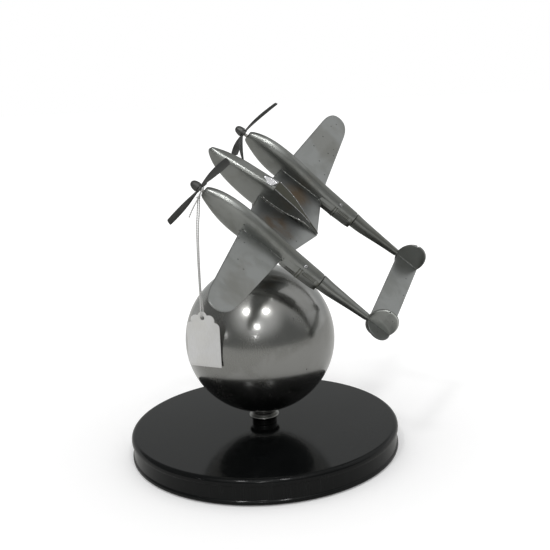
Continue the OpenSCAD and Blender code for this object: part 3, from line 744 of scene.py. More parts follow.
def finish(slot):
    """The material of a record slot, made once from the colours in the panel."""
    if not FINISHES:
        c = bpy.context.scene.ornament_colours
        black_gloss(c.base)
        paper(c.card)
        cotton(c.string)
        wool_felt(c.felt)
        metal("mirror_metal", c.ball, 0.19, 0.06, stain=0.25, pits=0.04, scratch=0.0001, coat=1.0)
        # The neck's lower part is darkened as painted shade
        metal("polished_metal", c.ball, 0.14, 0.08, stain=0.3, scratch=0.0002, painted_shade_below=BASE_TOP + 4.3)
        # Between the booms the body takes painted light, and the fins' outer faces a lighter painted
        # reflection
        metal("body_metal", c.body, 0.31, 0.06, stain=0.4, pits=0.06, scratch=0.0001, cloud_scale=90.0,
              painted_light_between_booms=1.1, outer=2.7)
        metal("canopy_metal", c.canopy, 0.2, 0.08, scratch=0.0002)
        # Between the booms the wing takes painted shade, and the tail tips a darker painted reflection
        metal("wing_metal", c.wing, 0.34, 0.06, stain=0.4, pits=0.16, scratch=0.0002, painted_light_between_booms=0.42,
              outer=0.5)
        metal("propeller_steel", c.propeller, 0.45, 0.12, stain=0.4, pits=0.1, scratch=0.0008)
        metal("bright_steel", c.steel, 0.3, 0.1, stain=0.2)
    return FINISHES[slot]


# Pieces of the ticket


def string_piece(thickness):
    """Two-ply string along its route: twice round a ring its radius goes from 0.72 of the outside to all.

    The two plies turn once in STRING_LAY along the path."""
    path = smooth_path(STRING_ROUTE, STRING_RINGS)
    along = np.append(0.0, np.cumsum(np.linalg.norm(np.diff(path, axis=0), axis=1)))
    lobes = np.cos(2 * (full_turn(STRING_SIDES) - 2 * np.pi * along[:, None] / STRING_LAY))
    shell = skin(tube(path, thickness / 2 * (0.86 + 0.14 * lobes), AXES[0], STRING_SIDES))
    piece = make_piece("twisted_string", shell, "string", ["ticket_string"], "ticket", ALL_SMOOTH)
    # The groove's depth, for painted shade between the plies
    mark(piece, "groove", 0.5 - 0.5 * lobes)
    return piece, path, along[-1]


def knot_piece():
    """An overhand knot: the trefoil (sin t + 2 sin 2t, cos t - 2 cos 2t, -1.6 sin 3t) drawn small."""
    t = full_turn(120)
    x, y = np.sin(t) + 2 * np.sin(2 * t), np.cos(t) - 2 * np.cos(2 * t)
    path = np.stack([x, y, -1.6 * np.sin(3 * t)], 1) * 0.2
    grid = tube(np.concatenate([path[-1:], path, path[:1]]), 0.34, (0.0, 0.0, 1.0))[1:-1]
    tilt = np.array([[1, 0, 0], [0, 0.25, -0.97], [0, 0.97, 0.25]])
    verts, faces = skin(grid, loop=True)
    shell = (verts @ tilt.T + STRING_ROUTE[0], faces)
    return make_piece("overhand_knot", shell, "string", ["ticket_knot"], "ticket", ALL_SMOOTH)


def scallop(centre, radius, start, end, count):
    """An arc of the card's outline, angles in degrees."""
    angle = np.radians(np.linspace(start, end, count))
    return np.asarray(centre) + radius * np.stack([np.cos(angle), np.sin(angle)], 1)


def card_outline():
    """The card's outline from its foot up one side, over five scallops and down to the clipped corner."""
    half, foot = CARD_W / 2, CARD_FOOT
    right = np.concatenate([
        np.linspace([half, foot], [half, -5.2], 24)[:-1], scallop((half - 2.8, -5.2), 2.8, 0, 91, 9)[:-1],
        scallop((4, -1.4), 2.9, -20, 97, 14)[:-1], scallop((0, 0.9), 2.5, 12, 90, 9)])
    left = (right * [-1, 1])[::-1][1:]
    left = left[left[:, 1] > foot + 2.6]
    clip = np.array([[-half, foot + 2.6], [1.6 - half, foot + 0.2]])
    return np.concatenate([right, left, clip, np.linspace(clip[1], [half, foot], 20)[1:-1]])


def card_piece(thickness):
    """The ticket: rings from the eyelet out to the outline in front and back in behind, bowed a little.

    The bow lifts a point to the front by 0.35 mm times the square of its distance down the card, and a
    sine across the card adds 0.12 mm."""
    outline = card_outline()
    angle = np.arctan2(outline[:, 1], outline[:, 0])
    hole = EYELET_R * np.stack([np.cos(angle), np.sin(angle)], 1)
    share = np.array([0, 0.02, 0.12, 0.3, 0.5, 0.7, 0.85, 0.95, 0.985, 1.0])
    face = hole + share[:, None, None] * (outline - hole)
    flat = np.concatenate([face, face[::-1]])
    lift = np.repeat([thickness / 2, -thickness / 2], len(share))
    lift[[0, len(share) - 1, len(share), -1]] *= 0.6
    down = np.clip((3.4 - flat[..., 1]) / 30, 0, 1)
    bow = 0.35 * down ** 2 + 0.12 * np.sin(flat[..., 0] * 0.22 + 0.6) * down
    grid = stacked(flat[..., 0], -(lift[:, None] + bow), flat[..., 1])
    across, along = math.cos(CARD_TURN), math.sin(CARD_TURN)
    turned = grid @ np.array([[across, along, 0], [-along, across, 0], [0, 0, 1]])
    shell = skin(CARD_AT + turned, loop=True)
    return make_piece("price_card", shell, "card", ["ticket_card"], "ticket")


# Pieces of the stand


def base_piece(diameter):
    """The base: chamfered foot, plain band between two lips and a rounded top edge, turned."""
    r = diameter / 2
    corners = [[0, 1.3], [69.8, 1.3], [70, 0.5], [r - 0.8, 0.5], [r, 1.3], [r, 2.6], [r - 0.7, 3.3],
               [r - 0.7, BASE_TOP - 3.9], [r, BASE_TOP - 3.5], [r, BASE_TOP - 2.4]]
    edge = np.radians(np.linspace(8, 90, 10))
    arc = np.stack([r - 2.4 + 2.4 * np.cos(edge), BASE_TOP - 2.4 + 2.4 * np.sin(edge)], 1)
    top = np.stack([np.linspace(r - 3.0, 0, 12), np.full(12, BASE_TOP)], 1)
    profile = np.concatenate([rounded_profile(corners, 0.35), arc, top])
    turned_piece("turned_base", profile, 256, "base_black", "base_disc")


def collar_piece():
    """Neck under the ball: a foot, a waist, a bead and a cup that meets the ball."""
    corners = [[0, 0], [7.1, 0], [7.0, 0.9], [7.0, 3.2], [8.2, 3.8], [8.6, 4.5], [8.2, 5.2], [6.9, 5.4]]
    cup = np.radians(np.linspace(5, 75, 10))
    curve = np.stack([6.9 + 3.9 * (1 - np.cos(cup)), 5.4 + 4.6 * np.sin(cup)], 1)
    profile = np.concatenate([rounded_profile(corners, 0.5), curve, [[0, curve[-1, 1]]]])
    turned_piece("neck", profile + [0, BASE_TOP], 96, "polished_metal", "neck_collar")


def ball_piece(diameter):
    """The ball: r sin and r cos of the angle from its top."""
    angle = np.linspace(0, np.pi, 129)
    profile = diameter / 2 * np.stack([np.sin(angle), np.cos(angle)], 1)
    profile[[0, -1], 0] = 0
    turned_piece("mirror_ball", profile + [0, BALL_Z], 256, "mirror_metal", "ball", ALL_SMOOTH)


def stem_ring_piece(ball_r):
    """The collar over the ball, on the axis from the ball's centre to the middle of the pod's belly."""
    corners = [[0, -1.5], [6.2, -0.3], [6.5, 1], [6.1, 1.8], [4.4, 2.4], [3.8, 3.6], [0, 3.6]]
    axis = BELLY - [0, 0, BALL_Z]
    axis = axis / np.linalg.norm(axis)
    first = np.array([axis[2], 0, -axis[0]]) / math.hypot(axis[0], axis[2])
    grid = lathe(rounded_profile(corners, 0.4), 72) + [0, 0, ball_r - 1]
    grid = [0, 0, BALL_Z] + grid @ np.array([first, np.cross(axis, first), axis])
    make_piece("stem_ring", skin(grid), "polished_metal", ["stem_collar"])


# Pieces of the aeroplane


def pod_piece():
    """The pod between the booms: superellipse sections, squarer above, where filing left two ridges.

    Behind POD_BREAK only the part below the wing goes on, under the fairings."""
    front = POD_ROWS[0][0]
    x = front - (front - POD_BREAK) * np.linspace(0, 1, 90) ** 1.4
    x = np.concatenate([x, np.linspace(POD_BREAK - 0.02, -34, 8)])
    half, top, bottom, square = columns_at(POD_ROWS, x)
    grid = hull_rings(x, half, top, bottom, square, SOFT_SQUARE, 0, 112)
    grid[90:, :, 2] = np.minimum(grid[90:, :, 2], WING_Z)
    piece = plane_piece("pod_shell", grid, "body_metal", "pod")
    # Painted highlight along the pod's upper left ridge
    mark(piece, "bright", stripe(x, 112, 50, 16, 9, -26))


def canopy_piece():
    """The faceted hood over the pod: a rim of seven corners round a peak, with small bevels."""
    count = len(HOOD_PLAN)
    plan = np.array(HOOD_PLAN, float)
    foot = np.column_stack([plan, np.full(count, 7.0)])
    rim = np.column_stack([plan, HOOD_RIM])
    i = np.arange(count)
    k = (i + 1) % count
    faces = [i.tolist()] + np.stack([i, i + count, k + count, k], 1).tolist()
    faces += np.stack([i + count, np.full(count, 2 * count), k + count], 1).tolist()
    corners = on_plane(np.concatenate([foot, rim, [HOOD_PEAK]]))
    piece = make_piece("hood", (corners, faces), "canopy_metal", ["canopy"], sharp=12)
    bevel = piece.modifiers.new("Soft edges", "BEVEL")
    bevel.width = 0.3 * MM
    bevel.segments = 3
    bevel.limit_method = "ANGLE"
    bevel.angle_limit = math.radians(20)
    bevel.harden_normals = True


def spine_piece():
    """Fairing behind the hood: steep sides and a flat top with soft ridges, which run down to a point."""
    x = np.linspace(POD_BREAK, -65, 36)
    half, top, low = columns_at(SPINE_ROWS, x)
    foot = np.full_like(x, WING_TOP - 0.3)
    across = np.stack([low, half, half * 0.92, -half * 0.92, -half, -low], 1)
    height = np.stack([foot, top - 0.3, top, top, top - 0.3, foot], 1)
    grid = rounded_loops(stacked(x[:, None], across, height), 0.3)
    piece = plane_piece("spine_fairing", grid, "body_metal", "pod_spine", 40)
    # Painted reflection: the flat top is darker and olive
    mark(piece, "dull", np.clip((grid[..., 2] - (top - 0.45)[:, None]) / 0.2, 0, 1))


def keel_piece():
    """Fairing under the wing behind the pod: lower halves of superellipses of power SOFT_SQUARE."""
    x = np.linspace(-34, -60, 24)
    half, bottom = columns_at(KEEL_ROWS, x)
    roof = WING_Z - ROOT_T / 2 + 0.3
    turn = np.linspace(0, np.pi, 40)
    across = -half[:, None] * signed_power(np.cos(turn), 2 / SOFT_SQUARE)
    down = (bottom - roof)[:, None] * np.abs(np.sin(turn)) ** (2 / SOFT_SQUARE)
    plane_piece("keel_fairing", stacked(x[:, None], across, roof + down), "body_metal", "pod_keel", 40)


def wing_rings(y, front, back, z, thick):
    """Wing sections at each y: a flat top, round edges and a belly that thins aft.

    With u = (1 - cos) / 2 along the chord the height is half the thickness times |sin|^0.45, and below
    also times 1 - 0.6 u."""
    turn = full_turn(80)
    u = (1 - np.cos(turn)) / 2
    shape = np.abs(np.sin(turn)) ** 0.45 * np.where(np.sin(turn) > 0, 1.0, -(1 - 0.6 * u))
    along = front[:, None] + (back - front)[:, None] * u
    return stacked(along, y[:, None], z + thick / 2 * shape)


def outer_wing_piece(side, hand):
    """Outer panel: straight edges that meet in a tip, a superellipse of power SOFT_SQUARE."""
    angle = np.radians(np.linspace(0, 89.7, 34))
    tip = ROUND_Y + (HALF_SPAN - ROUND_Y) * np.sin(angle) ** (2 / SOFT_SQUARE)
    y = np.concatenate([np.linspace(HALF_GAP, ROUND_Y, 22)[:-1], tip])
    inside = np.concatenate([np.ones(21), np.cos(angle) ** (2 / SOFT_SQUARE)])
    out = y - HALF_GAP
    front = TIP_X + (10.6 - 0.065 * out) * inside
    back = TIP_X - (16.4 - 0.142 * out) * inside
    thick = (ROOT_T + (TIP_T - ROOT_T) * out / (HALF_SPAN - HALF_GAP)) * (0.3 + 0.7 * np.sqrt(inside))
    z = WING_Z + out * math.tan(DIHEDRAL)
    grid = wing_rings(y, front, back, z[:, None], thick[:, None]) * [1, side, 1]
    plane_piece(f"wing_panel_{hand}", grid, "wing_metal", f"wing_{hand}")


def centre_wing_piece():
    """Centre panel between the booms, swept forward at the back towards them."""
    y = np.linspace(-HALF_GAP, HALF_GAP, 41)
    grid = wing_rings(y, -26.4 - 0.08 * np.abs(y), -65.4 + 0.31 * np.abs(y), WING_Z, ROOT_T)
    plane_piece("wing_middle", grid, "wing_metal", "wing_centre")


def boom_rings(rows, x, near, least, square, side, sides, depth=1.0):
    """Rings of a boom whose end is rounded off.

    A ring is least + (1 - least) sqrt(1 - (1 - near)^2) of its full size, where near is its distance to
    the end, 1 where the rounding starts."""
    half, top, bottom = columns_at(rows, x)
    inset = least + (1 - least) * np.sqrt(1 - (1 - np.minimum(near, 1)) ** 2)
    middle, rise = (top + bottom) / 2 * depth, (top - bottom) / 2 * depth * inset
    top, bottom = middle + rise, middle - rise
    return hull_rings(x, half * inset, top, bottom, square, square, side * HALF_GAP, sides)


def nacelle_piece(side, hand):
    """Nacelle and front boom in one: superellipse sections of power 2.3 with a softened nose."""
    front = NACELLE_ROWS[0][0]
    x = front - (front - JOINT_X) * np.linspace(0, 1, 120) ** 1.3
    near = np.minimum(front - x, x - JOINT_X) / 0.35
    grid = boom_rings(NACELLE_ROWS, x, near, 0.82, 2.3, side, 80, NACELLE_DEPTH[side])
    piece = plane_piece(f"boom_front_{hand}", grid, "body_metal", f"nacelle_{hand}")
    # Painted highlights along the nacelle's upper side, and on the left one a second along its inner
    # shoulder
    shine = 0.55 * stripe(x, 80, 62, 20, -2.5, -27)
    if side > 0:
        shine += 0.8 * stripe(x, 80, 121, 7, -30, -66)
    mark(piece, "bright", shine)
    # Painted shade along the top of the nacelle behind the wing
    mark(piece, "dull", 0.45 * stripe(x, 80, 85, 18, -38, -90))


def tail_boom_piece(side, hand):
    """Rear boom: squarish sections that narrow to the tailplane and are rounded off against the fin."""
    x = BOOM_END + (JOINT_X - BOOM_END) * np.linspace(1, 0, 60) ** 1.3
    grid = boom_rings(TAIL_ROWS, x, (x - BOOM_END) / 1.6, 0.35, 3.2, side, 72)
    piece = plane_piece(f"boom_rear_{hand}", grid, "body_metal", f"tail_boom_{hand}")
    # Painted reflection: dark bands along the rear boom
    bands = ((0.7, 100, 5), (0.7, 42, 5)) if side > 0 else ((0.65, 75, 24), (0.35, 15, 24))
    painted_dark_bands = sum(amount * stripe(x, 72, angle, spread, -70, -130) for amount, angle, spread in bands)
    mark(piece, "dull", np.clip(painted_dark_bands, 0, 1))
    # Painted highlight along the upper right shoulder
    mark(piece, "bright", 0.5 * stripe(x, 72, 122, 10, -70, -130))


def radiator_piece(side, out, name, node):
    """Side radiator: a box that swells from the boom, with a strap, grooves below and ribs on its slope.

    The outside follows RADIATOR_ROWS. Above z 0.3 it leans in by 0.64 mm for each mm of height. The
    kind 1 grooves draw it in by 0.35 mm in the lower half, and the kind 2 ones by 0.2 mm on the slope."""
    x, reach = np.array(RADIATOR_ROWS).T
    levels = [[-3.6, 0], [-3.5, 0]]
    for low, kind, wide in RADIATOR_GROOVES:
        levels += [[low - 0.02, 0], [low, kind], [low + wide, kind], [low + wide + 0.02, 0]]
    z, kinds = np.array(levels + [[2.3, 0], [2.45, 0]]).T
    lower = ((x <= -59.1) & (x >= -65))[:, None] * (kinds == 1)
    upper = ((x <= -68.1) & (x >= -76))[:, None] * (kinds == 2)
    outer = reach[:, None] - 0.64 * np.clip(z - 0.3, 0, None) - 0.35 * lower - 0.2 * upper
    outer[:, [0, -1]] -= 0.2
    across = np.concatenate([outer, np.full((len(x), 2), 1.2)], 1)
    grid = stacked(x[:, None], side * HALF_GAP + side * out * across, np.append(z, [2.45, -3.6]))
    piece = plane_piece(name, grid, "body_metal", node, 35)
    # Painted shade in the grooves, along the foot and at the strap's and the back's edges
    grooves = np.zeros(grid.shape[:2])
    grooves[:, :len(z)] = np.maximum(lower, upper)
    grooves[:, :2] = 1.0
    grooves[np.isin(x, [-65.95, -66.85, -78.6])] = 1.0
    mark(piece, "dull", grooves)


def turbo_piece(side, hand):
    """Bright button on the left shoulder of a boom."""
    corners = [[0, -0.5], [1.2, -0.5], [1.15, 0.1], [0.9, 0.5], [0.5, 0.75], [0, 0.8]]
    crest = float(smooth_value(NACELLE_ROWS, np.array([BUTTON_X]), 2)[0]) * NACELLE_DEPTH[side]
    grid = turned_about_x(lathe(rounded_profile(corners, 0.15, 3), 32), -34)
    grid = grid + [BUTTON_X, side * HALF_GAP + 2.4, crest - 0.62]
    plane_piece(f"button_{hand}", grid, "canopy_metal", f"turbo_{hand}")


def tailplane_piece():
    """Tailplane bar between the fins: a section with the height |sin|^0.5, flat with round edges."""
    turn = full_turn(96)
    y = np.linspace(-HALF_GAP + FIN_T / 2, HALF_GAP - FIN_T / 2, 30)[:, None]
    grid = stacked(TAIL_X + TAIL_R * np.cos(turn), y, 0.7 * signed_power(np.sin(turn), 0.5))
    plane_piece("tail_bar", grid, "wing_metal", "tailplane")


def tail_tip_piece(side, hand):
    """Half-round tip of the tailplane outside a fin."""
    outline = scallop((0, 0), TAIL_R, 0, 180, 60)
    outline = np.concatenate([outline, np.linspace([-7.1, -0.4], [7.1, -0.4], 12)])
    grid = plate(outline, 1.4, 0.35, np.array([0, 2.4]))
    grid = grid * [1, side, 1] + [TAIL_X, side * (HALF_GAP + FIN_T / 2), 0]
    plane_piece(f"tip_{hand}", grid, "wing_metal", f"tail_tip_{hand}")


def fin_piece(side, hand):
    """Oval fin with a notch where the rudder starts; the notch draws the rim in over 1.2 mm."""
    angle = full_turn(240)
    x, z = 8.1 * np.cos(angle), 10.6 * np.sin(angle)
    depth = 1.1 * np.clip(1 - np.abs(x - 1.9) / 0.6, 0, 1) * (z > 0)
    grid = plate(np.stack([x, z - depth], 1), FIN_T, 0.4, np.zeros(2))
    grid = grid[..., [0, 2, 1]] + [FIN_X, side * HALF_GAP, FIN_Z]
    plane_piece(f"oval_fin_{hand}", grid, "body_metal", f"fin_{hand}")


def bead(x, y, z, size):
    """One bead along x: its radius is its size times 1 plus three sines of x, drawn in at both ends."""
    wander = 1 + 0.16 * np.sin(1.9 * x) + 0.12 * np.sin(3.7 * x + 1) + 0.1 * np.sin(6.1 * x + 2)
    ends = np.minimum(x - x.min(), x.max() - x) / 1.5
    radius = (size * wander * np.sqrt(np.clip(ends, 0.02, 1)))[:, None]
    return skin(on_plane(tube(stacked(x, y, z), radius, (0, 0, 1.0))))


def bead_pieces():
    """Solder along the spine, the booms and the fins, and tubes of brighter metal on the spine's top edges,
    a painted highlight.
    """
    x = np.linspace(-28.4, -60, 140)
    away, height, size = columns_at(SPINE_BEAD, x)
    shells = [bead(x, side * away, height, size) for side, _ in HANDS]
    shells.append(bead(x[:70], away[:70] + 1.0, WING_TOP, 0.24))
    make_piece("solder_spine", joined(shells), "polished_metal", sharp=ALL_SMOOTH)
    # Tubes of brighter metal along the spine's top edges stand in for a painted highlight
    x = np.linspace(-31.2, -58.0, 120)
    half, crest, _ = columns_at(SPINE_ROWS, x)
    shells = [bead(x, side * half * 0.96, crest - 0.12, 0.26) for side, _ in HANDS]
    make_piece("painted_highlight_ridges", joined(shells), "canopy_metal", sharp=ALL_SMOOTH)
    for side, hand in HANDS:
        shells = []
        for out, first in ((1, -30.5), (-1, -30.0)):
            x = np.linspace(first, -55.0, 100)
            y = side * (HALF_GAP + out * (smooth_value(NACELLE_ROWS, x, 1) - 0.08))
            shells += [bead(x, y, z, 0.36) for z in (WING_TOP, WING_Z - 0.9)]
        shells.append(bead(np.linspace(-111.6, -124.5, 60), side * (HALF_GAP - FIN_T / 2), 0.7, 0.36))
        make_piece(f"solder_{hand}", joined(shells), "body_metal", sharp=ALL_SMOOTH)


def turned_about_x(grid, degrees):
    """Turn a shape about the x axis."""
    a = math.radians(degrees)
    return grid @ np.array([[1, 0, 0], [0, math.cos(a), math.sin(a)], [0, -math.sin(a), math.cos(a)]])


def blade(pitch, bend):
    """One blade along y: elliptic sections of the rows' chord and thickness, turned by pitch plus twist.

    The tip leans back by bend times (r / 25)^1.5, and the radius shrinks to keep the blade's length."""
    r = np.concatenate([np.linspace(1.6, 23, 40), 25 - 2 * np.cos(np.radians(np.linspace(5, 89, 16)))])
    chord = smooth_value(BLADE_ROWS, np.minimum(r, 23.2), 1)
    chord = chord * np.clip(1 - (np.clip(r - 23.4, 0, None) / 1.62) ** 5, 0.02, 1) ** 0.2
    thick = smooth_value(BLADE_ROWS, r, 2)
    angle = np.radians(pitch + smooth_value(BLADE_ROWS, r, 3))[:, None]
    back = (bend * ((r - 1.6) / 25) ** 1.5)[:, None]
    out = r * math.sqrt(1 - 0.9 * (bend / 25) ** 2)
    turn = full_turn(28)
    u = chord[:, None] / 2 * np.cos(turn)
    v = thick[:, None] / 2 * np.sin(turn)
    x = u * np.sin(angle) + v * np.cos(angle) - back
    return stacked(x, out[:, None], u * np.cos(angle) - v * np.sin(angle))


def on_shaft(grid, side):
    """Move a shape made round the x axis to a propeller's hub."""
    return on_plane(grid + [0, side * HALF_GAP, THRUST_Z])


def about_x(profile, sides):
    """A profile of (r, x) turned round the x axis."""
    return lathe(profile, sides)[..., [2, 0, 1]]


def propeller_piece(side, hand, body, first, pitches, bends):
    """Three hand-bent blades on a hub with a hole for the pin."""
    ring = rounded_loops(HUB_CORNERS, 0.15, 3)[0, :, :2]
    shells = [skin(on_shaft(about_x(ring, 48), side), loop=True)]
    for k, (pitch, bend) in enumerate(zip(pitches, bends)):
        shells.append(skin(on_shaft(turned_about_x(blade(pitch, bend), first + 120 * k), side)))
    make_piece(f"airscrew_{hand}", joined(shells), "propeller_steel", [f"propeller_{hand}"], body)


def spinner_piece(side, hand, body, length):
    """Blunt cap: radius 2.6 cos^0.8 and length sin of an angle, hollow behind for the pin's head."""
    angle = np.radians(np.linspace(90, 0, 28))
    outside = np.stack([2.6 * np.cos(angle) ** 0.8, 0.8 + length * np.sin(angle)], 1)
    outside[0, 0] = 0
    profile = np.concatenate([outside, [[1.7, 0.8], [1.7, 2.5], [0, 2.5]]])
    shell = skin(on_shaft(about_x(profile, 56), side))
    make_piece(f"cap_{hand}", shell, "propeller_steel", [f"spinner_{hand}"], body)


# Stage


def seen_directly(tree, path):
    """1 for rays from the camera, also through something clear, and 0 for the others."""
    return maths(tree, "ADD", path["Is Camera Ray"], path["Is Transmission Ray"], clamp=True)


def studio_floor():
    """A pale floor: white to the camera, with the object's soft shadow on it."""
    mesh = bpy.data.meshes.new("floor")
    corners = [(x * FLOOR_EDGE, y * FLOOR_EDGE, 0) for x, y in ((-1, -1), (1, -1), (1, 1), (-1, 1))]
    mesh.from_pydata(corners, [], [(0, 1, 2, 3)])
    floor = bpy.data.objects.new("floor", mesh)
    bpy.context.scene.collection.objects.link(floor)
    material = bpy.data.materials.new("floor")
    mesh.materials.append(material)
    tree = bare_tree(material)
    path = put(tree, "LightPath").outputs
    seen = seen_directly(tree, path)
    grey = put(tree, "BsdfDiffuse", {"Color": (0.57, 0.57, 0.555, 1)})
    pale = put(tree, "BsdfDiffuse", {"Color": (0.95, 0.95, 0.95, 1)})
    away = put(tree, "VectorMath", {0: put(tree, "TexCoord").outputs["Object"]}, operation="LENGTH")
    white_out = ramp(tree, away.outputs["Value"], 0.1, 0.35, 0.12, 0.4)
    lift = plus(tree, times(tree, seen, white_out), times(tree, path["Is Glossy Ray"], 0.03))
    glow = put(tree, "Emission", {"Color": (1, 1, 1, 1), "Strength": lift})
    total = put(tree, "AddShader", {0: put(tree, "MixShader", {0: seen, 1: grey, 2: pale}), 1: glow})
    put(tree, "OutputMaterial", {"Surface": total})


def studio_world():
    """Plain white to the camera; polished metal sees the room's dim side, its far wall and two panels."""
    world = bpy.data.worlds.new("studio")
    bpy.context.scene.world = world
    tree = bare_tree(world)
    direction = put(tree, "TexCoord").outputs["Generated"]
    split = put(tree, "SeparateXYZ", {0: direction}).outputs
    dim = ramp(tree, facing(tree, direction, (0.0, -0.466, 0.885)), -0.04, 0.12)
    wall = times(tree, ramp(tree, split[1], 0.55, 0.85), ramp(tree, split[2], 0.35, 0.6, 1.0, 0.0))
    room = mixed(tree, dim, (0.66, 0.665, 0.66, 1), (0.19, 0.195, 0.19, 1))
    room = mixed(tree, wall, room, (0.44, 0.45, 0.445, 1))
    glow = ramp(tree, facing(tree, direction, (0.0, -0.62, 0.785)), 0.7, 1.0, 0.0, 0.75)
    side = ramp(tree, facing(tree, direction, (0.71, 0.22, 0.665)), 0.7, 1.0, 0.0, 0.45)
    extra = plus(tree, glow, side)
    panels = put(tree, "CombineXYZ", {0: extra, 1: extra, 2: extra})
    room = put(tree, "VectorMath", {0: room, 1: panels}, operation="ADD")
    path = put(tree, "LightPath").outputs
    white = (1, 1, 1, 1)
    plain, seen, mirrored = (
        put(tree, "Background", {"Color": colour, "Strength": strength})
        for colour, strength in ((white, 0.8), (white, 1.0), (room, 1.0)))
    lit = put(tree, "MixShader", {0: path["Is Glossy Ray"], 1: plain, 2: mirrored})
    total = put(tree, "MixShader", {0: seen_directly(tree, path), 1: lit, 2: seen})
    put(tree, "OutputWorld", {"Surface": total})


def studio_lamps():
    """Round ceiling lamps behind the camera, each aimed at the ball."""
    for k, (direction, width, power) in enumerate(LAMPS):
        light = bpy.data.lights.new(f"lamp_{k + 1}", "AREA")
        light.shape = "DISK"
        light.size = width
        light.energy = power
        lamp = bpy.data.objects.new(f"lamp_{k + 1}", light)
        away = Vector(direction).normalized()
        lamp.location = Vector((0, 0, BALL_Z * MM)) + away * LAMP_FAR
        lamp.rotation_euler = away.to_track_quat("Z", "Y").to_euler()
        bpy.context.scene.collection.objects.link(lamp)


# Operators, in the order in which main calls them


class ORNAMENT_OT_camera(bpy.types.Operator):
    """Set up the camera at the photograph's place"""

    bl_idname = "ornament.camera"
    bl_label = "Camera"

    def execute(self, context):
        data = bpy.data.cameras.new("camera")
        data.lens = CAMERA_LENS
        data.sensor_width = 36.0
        data.clip_start = 0.01
        camera = bpy.data.objects.new("camera", data)
        camera.location = CAMERA_AT
        camera.rotation_euler = [math.radians(turn) for turn in CAMERA_TURN]
        context.scene.collection.objects.link(camera)
        context.scene.camera = camera
        context.scene.view_settings.view_transform = "Standard"
        return {"FINISHED"}


class ORNAMENT_OT_ticket(bpy.types.Operator):
    """Make the string, its knot and the paper card"""

    bl_idname = "ornament.ticket"
    bl_label = "Ticket"

    def execute(self, context):
        sizes = context.scene.ornament_sizes
        string, path, length = string_piece(sizes.string_diameter / MM)
        knot = knot_piece()
        card = card_piece(sizes.card_thickness / MM)
        return {"FINISHED"}


class ORNAMENT_OT_base(bpy.types.Operator):
    """Make the turned base and finish the felt and fixings inside it"""

    bl_idname = "ornament.base"
    bl_label = "Base"

    def execute(self, context):
        base_piece(context.scene.ornament_sizes.base_diameter / MM)
        finish_node("base_felt", "felt")
        for node in ("base_washer", "base_nut", "tie_rod"):
            finish_node(node, "bright_steel")
        return {"FINISHED"}


class ORNAMENT_OT_ball(bpy.types.Operator):
    """Make the ball with its neck and the stem's collar"""

    bl_idname = "ornament.ball"
    bl_label = "Ball and stem"

    def execute(self, context):
        diameter = context.scene.ornament_sizes.ball_diameter / MM
        collar_piece()
        ball_piece(diameter)
        stem_ring_piece(diameter / 2)
        finish_node("stem", "polished_metal")
        finish_node("stem_socket", "polished_metal")
        return {"FINISHED"}


class ORNAMENT_OT_pod(bpy.types.Operator):
    """Make the pod, its hood and its fairings"""

    bl_idname = "ornament.pod"
    bl_label = "Pod and hood"

    def execute(self, context):
        pod_piece()
        canopy_piece()
        spine_piece()
        keel_piece()
        return {"FINISHED"}


class ORNAMENT_OT_wings(bpy.types.Operator):
    """Make the centre panel and the two outer panels of the wing"""

    bl_idname = "ornament.wings"
    bl_label = "Wings"

    def execute(self, context):
        centre_wing_piece()
        for side, hand in HANDS:
            outer_wing_piece(side, hand)
        return {"FINISHED"}


class ORNAMENT_OT_booms(bpy.types.Operator):
    """Make the nacelles, radiators, buttons, rear booms and the solder along the joints"""

    bl_idname = "ornament.booms"
    bl_label = "Booms"

    def execute(self, context):
        for side, hand in HANDS:
            nacelle_piece(side, hand)
            tail_boom_piece(side, hand)
            turbo_piece(side, hand)
            for out, place in ((1, "outer"), (-1, "inner")):
                radiator_piece(side, out, f"cooler_{hand}_{place}", f"radiator_{hand}_{place}")
        bead_pieces()
        return {"FINISHED"}


class ORNAMENT_OT_tail(bpy.types.Operator):
    """Make the tailplane, its tips and the two fins"""

    bl_idname = "ornament.tail"
    bl_label = "Tail"

    def execute(self, context):
        tailplane_piece()
        for side, hand in HANDS:
            tail_tip_piece(side, hand)
            fin_piece(side, hand)
        return {"FINISHED"}


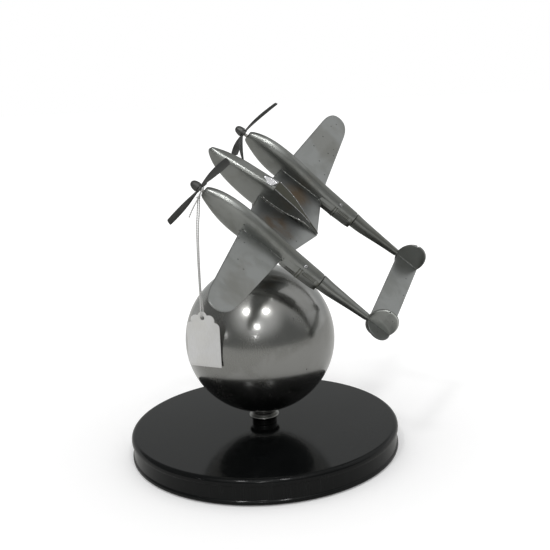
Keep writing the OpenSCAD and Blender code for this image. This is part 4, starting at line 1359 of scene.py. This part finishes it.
class ORNAMENT_OT_propellers(bpy.types.Operator):
    """Make both propellers with their spinners, and finish the pins that they turn on"""

    bl_idname = "ornament.propellers"
    bl_label = "Propellers"

    def execute(self, context):
        length = context.scene.ornament_sizes.spinner_length / MM
        for side, hand in HANDS:
            body = f"{hand}_propeller_set"
            propeller_piece(side, hand, body, *BLADES[side])
            spinner_piece(side, hand, body, length)
            finish_node(f"propeller_pin_{hand}", "bright_steel")
        return {"FINISHED"}


class ORNAMENT_OT_stage(bpy.types.Operator):
    """Set up the pale floor, the white room and the lamps"""

    bl_idname = "ornament.stage"
    bl_label = "Stage"

    def execute(self, context):
        studio_floor()
        studio_world()
        studio_lamps()
        return {"FINISHED"}


STEPS = (ORNAMENT_OT_camera, ORNAMENT_OT_ticket, ORNAMENT_OT_base, ORNAMENT_OT_ball, ORNAMENT_OT_pod,
         ORNAMENT_OT_wings, ORNAMENT_OT_booms, ORNAMENT_OT_tail, ORNAMENT_OT_propellers, ORNAMENT_OT_stage)


class ORNAMENT_PT_panel(bpy.types.Panel):
    """Lists the sizes, the colours and a button for each group of pieces"""

    bl_idname = "ORNAMENT_PT_panel"
    bl_label = "Airplane Desk Ornament"
    bl_space_type = "VIEW_3D"
    bl_region_type = "UI"
    bl_category = "Ornament"

    def draw(self, context):
        for group in (context.scene.ornament_sizes, context.scene.ornament_colours):
            for name in group.__annotations__:
                self.layout.prop(group, name)
        for step in STEPS:
            self.layout.operator(step.bl_idname)


CLASSES = (OrnamentSizes, OrnamentColours, *STEPS, ORNAMENT_PT_panel)


def register():
    for item in CLASSES:
        bpy.utils.register_class(item)
    bpy.types.Scene.ornament_sizes = PointerProperty(type=OrnamentSizes)
    bpy.types.Scene.ornament_colours = PointerProperty(type=OrnamentColours)


def unregister():
    del bpy.types.Scene.ornament_colours
    del bpy.types.Scene.ornament_sizes
    for item in reversed(CLASSES):
        bpy.utils.unregister_class(item)


def main():
    register()
    for step in STEPS:
        group, name = step.bl_idname.split(".")
        if getattr(getattr(bpy.ops, group), name)() != {"FINISHED"}:
            raise RuntimeError(f"{step.bl_label} didn't finish")


if __name__ == "__main__":
    main()
